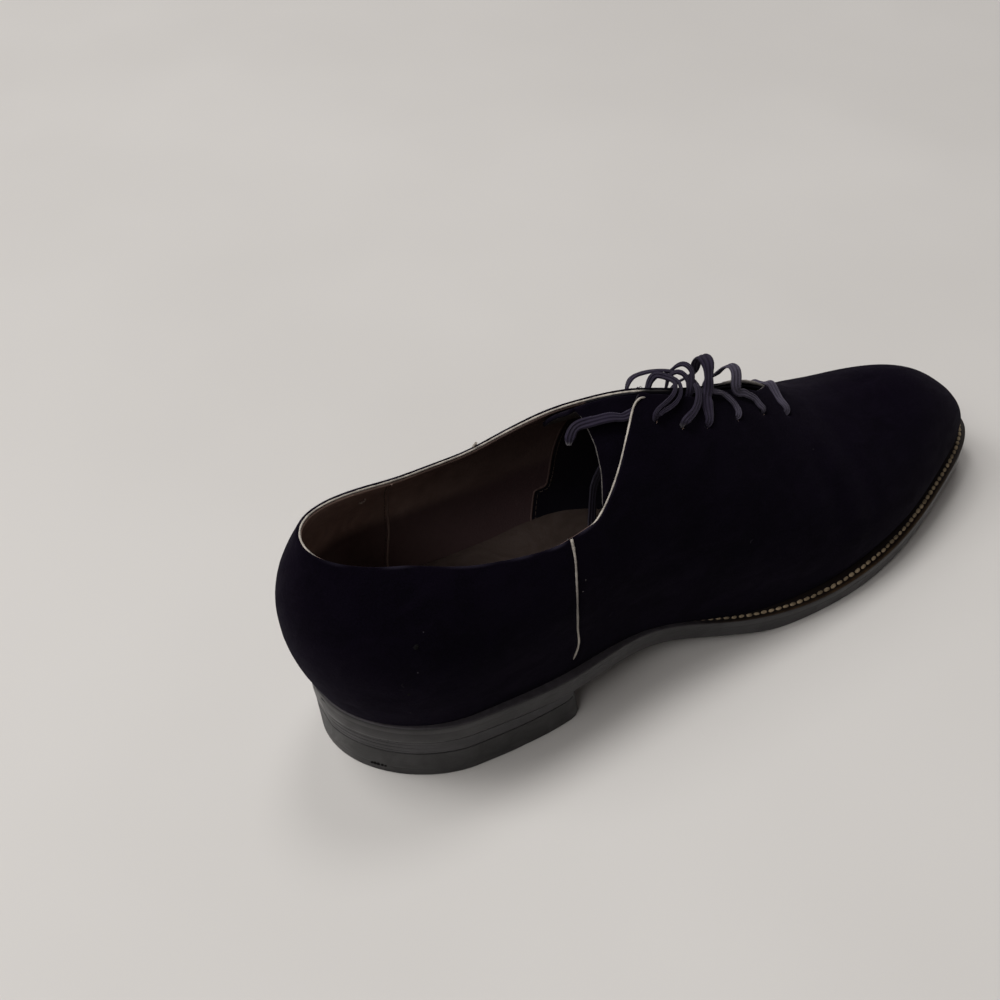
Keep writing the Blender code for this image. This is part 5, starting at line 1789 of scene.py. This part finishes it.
def make_inner_scuffs(mat):
    """A small pale ring worn in the lining, and a short line on the sock."""
    centre = inside(0.1245, 0.380, 1, WALL)
    n = unit(centre - inside(0.1245, 0.380, 1, WALL - 1))
    up = unit(np.array([0, 0, 1.0]) - n * n[2])
    w = np.cross(n, up)
    a = np.radians(np.linspace(-150, 105, 26))
    ring = centre + n * 0.22 + (np.sin(a) * 1.15)[:, None] * w - (np.cos(a) * 1.9)[:, None] * up
    parts = [tube_mesh(tube(ring, 0.27 * np.interp(np.linspace(0, 1, 26), (0, .2, .6, 1), (0.5, 1, 1, 0.4)), 8)),
             blob(centre + n * 0.22 - up * 1.9 + w * 0.1, n, 0.72, 51, 0.4)]
    x = np.linspace(111.5, 117.5, 14)
    y = np.interp(x, (111.5, 117.5), (16.6, 15.4))
    z = np.array([float(seat_z(v)) for v in x]) + SOCK_RISE - 0.36
    line = np.stack([x, y, z], -1)
    parts.append(tube_mesh(tube(line, np.full(14, 0.13), 6)))
    return join_pieces("inner_scuffs", parts, [mat], None, 70)


# ---- setting ----------------------------------------------------------------
def make_floor():
    """Plain pale table top."""
    mesh = bpy.data.meshes.new("table_top")
    bm = bmesh.new()
    bmesh.ops.create_grid(bm, x_segments=12, y_segments=12, size=4.0)
    bm.to_mesh(mesh)
    bm.free()
    mesh.materials.append(floor_paint())
    obj = bpy.data.objects.new("table_top", mesh)
    obj.location = (0, 0, -0.00005)
    bpy.context.scene.collection.objects.link(obj)
    obj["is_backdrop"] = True


def area_light(name, place_, look, size, watts, colour):
    data = bpy.data.lights.new(name, "AREA")
    data.shape = "DISK"
    data.size = size
    data.energy = watts
    data.color = colour
    obj = bpy.data.objects.new(name, data)
    d = unit(np.array(place_, float) - np.array(look, float))
    x = unit(np.cross((0.02, 1, 0.01), d))
    y = np.cross(d, x)
    m = np.eye(4)
    m[:3, 0], m[:3, 1], m[:3, 2], m[:3, 3] = x, y, d, place_
    obj.matrix_world = Matrix(m.tolist())
    bpy.context.scene.collection.objects.link(obj)


def make_light():
    """Soft room light: brighter overhead than level, a window to the left."""
    world = bpy.data.worlds.new("studio") if not bpy.context.scene.world else bpy.context.scene.world
    bpy.context.scene.world = world
    world.use_nodes = True
    tree = world.node_tree
    back = tree.nodes["Background"]
    where = tree.nodes.new("ShaderNodeTexCoord")
    split = tree.nodes.new("ShaderNodeSeparateXYZ")
    ramp = tree.nodes.new("ShaderNodeMapRange")
    ramp.interpolation_type = "SMOOTHSTEP"
    for key, v in (("From Min", 0.05), ("From Max", 0.75), ("To Min", WORLD * 0.8), ("To Max", WORLD)):
        ramp.inputs[key].default_value = v
    tree.links.new(where.outputs["Generated"], split.inputs[0])
    tree.links.new(split.outputs["Z"], ramp.inputs["Value"])
    tree.links.new(ramp.outputs[0], back.inputs["Strength"])
    back.inputs["Color"].default_value = (1.0, 0.90, 0.875, 1)
    for name, azimuth, height, size, watts in LAMPS:
        a, e = math.radians(azimuth), math.radians(height)
        spot = (4.5 * math.cos(a) * math.cos(e), 4.5 * math.sin(a) * math.cos(e), 4.5 * math.sin(e))
        area_light(name, spot, (0.0, 0, 0), size, watts, (1.0, 0.985, 0.97))
    bpy.context.scene.view_settings.view_transform = "Standard"
    bpy.context.scene.view_settings.look = "None"
    bpy.context.scene.view_settings.exposure = 0.0


WORLD = 0.09
# Soft lamps: name, azimuth and height in degrees, size, watts.
LAMPS = (("window_high", 132.7, 68, 1.4, 65.0), ("window_low", 147.7, 48, 1.9, 57.5),
         ("lamp_behind", 57.7, 68, 1.3, 35.0), ("room_left", 179.7, 45, 2.0, 35.5),
         ("room_low", 207.7, 47, 1.5, 29.0))


def main():
    set_camera()
    lace = lace_paint()
    # Painted light: a lighter copy of the lace paint for the first three crossings, standing in for the light they
    # catch.
    worn = lace_paint("lit_lace", (0.0172, 0.0150, 0.0225), 2.0)
    free_laces(lace, lace_paint("shaded_lace", k=0.5))
    bars(lace, worn)
    lace_tuft(lace_paint("frayed_lace", (0.05, 0.045, 0.055)))
    make_light()
    make_floor()
    outer, inner, suede, lining = make_upper()
    cut_holes([outer, inner])
    piping = piping_paint()
    make_piping(piping)
    make_seam_piping(piping)
    brown_thread = thread_paint("lining_thread", (0.080, 0.060, 0.048))
    make_lining_seams(brown_thread, lining)
    raw = lint_paint("raw_leather_edge", (0.10, 0.092, 0.088))
    make_tongue(suede_paint("tongue_suede", (0.0020, 0.0013, 0.0034)), raw)
    make_sock(sock_paint())
    edge_black = sole_paint("inked_sole_edge", (0.0086, 0.0073, 0.0090), 0.38, 0.5)
    tread = tread_paint()
    make_outsole(edge_black, tread)
    make_welt(welt_paint(), edge_black)
    make_stitches(thread_paint())
    heel_black = sole_paint("inked_heel_edge", (0.0098, 0.0086, 0.0116), 0.38, 0.5)
    tap_black = sole_paint("black_rubber_lift", (0.0064, 0.0056, 0.0066), 0.46, 0.35)
    make_heel("heel_lifts", lambda x: LIFT_SPLIT + GAP * 0.5 + 0.07 * math.sin(x / 4.3) * math.sin(x / 11.0 + 1), lambda x: float(tread_z(x)) - 0.03, heel_black,
              "heel_stack", lines=((0.22, 0.10), (0.50, 0.14), (0.80, 0.12)), low_r=0.30, high_r=0.06)
    make_heel("heel_top_lift", lambda x: 0.0, lambda x: LIFT_SPLIT - GAP * 0.5, tap_black, "top_lift",
              lines=((0.30, 0.05),), low_r=0.55, high_r=0.30, under=tread)
    make_specks(lint_paint("pale_lint", (0.105, 0.098, 0.098)), lint_paint("faint_lint", (0.030, 0.027, 0.033)),
                lint_paint("dark_speck", (0.0012, 0.001, 0.0012)))
    make_inner_scuffs(lint_paint("pale_scuff", (0.72, 0.62, 0.56)))

    boxes = {"cad": CAD_BOX, "visual": [list(map(float, v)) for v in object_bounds()]}
    grow = [[(a - b) * 1000 for a, b in zip(u, v)] for u, v in zip(boxes["visual"], boxes["cad"])]
    print("growth mm", [[round(v, 2) for v in row] for row in grow])
    tris = {o.name: sum(len(p.vertices) - 2 for p in o.data.polygons)
            for o in bpy.data.objects if o.type == "MESH" and not o.hide_render}
    print("triangles", sum(tris.values()), {k: v for k, v in tris.items() if v > 20000})


main()
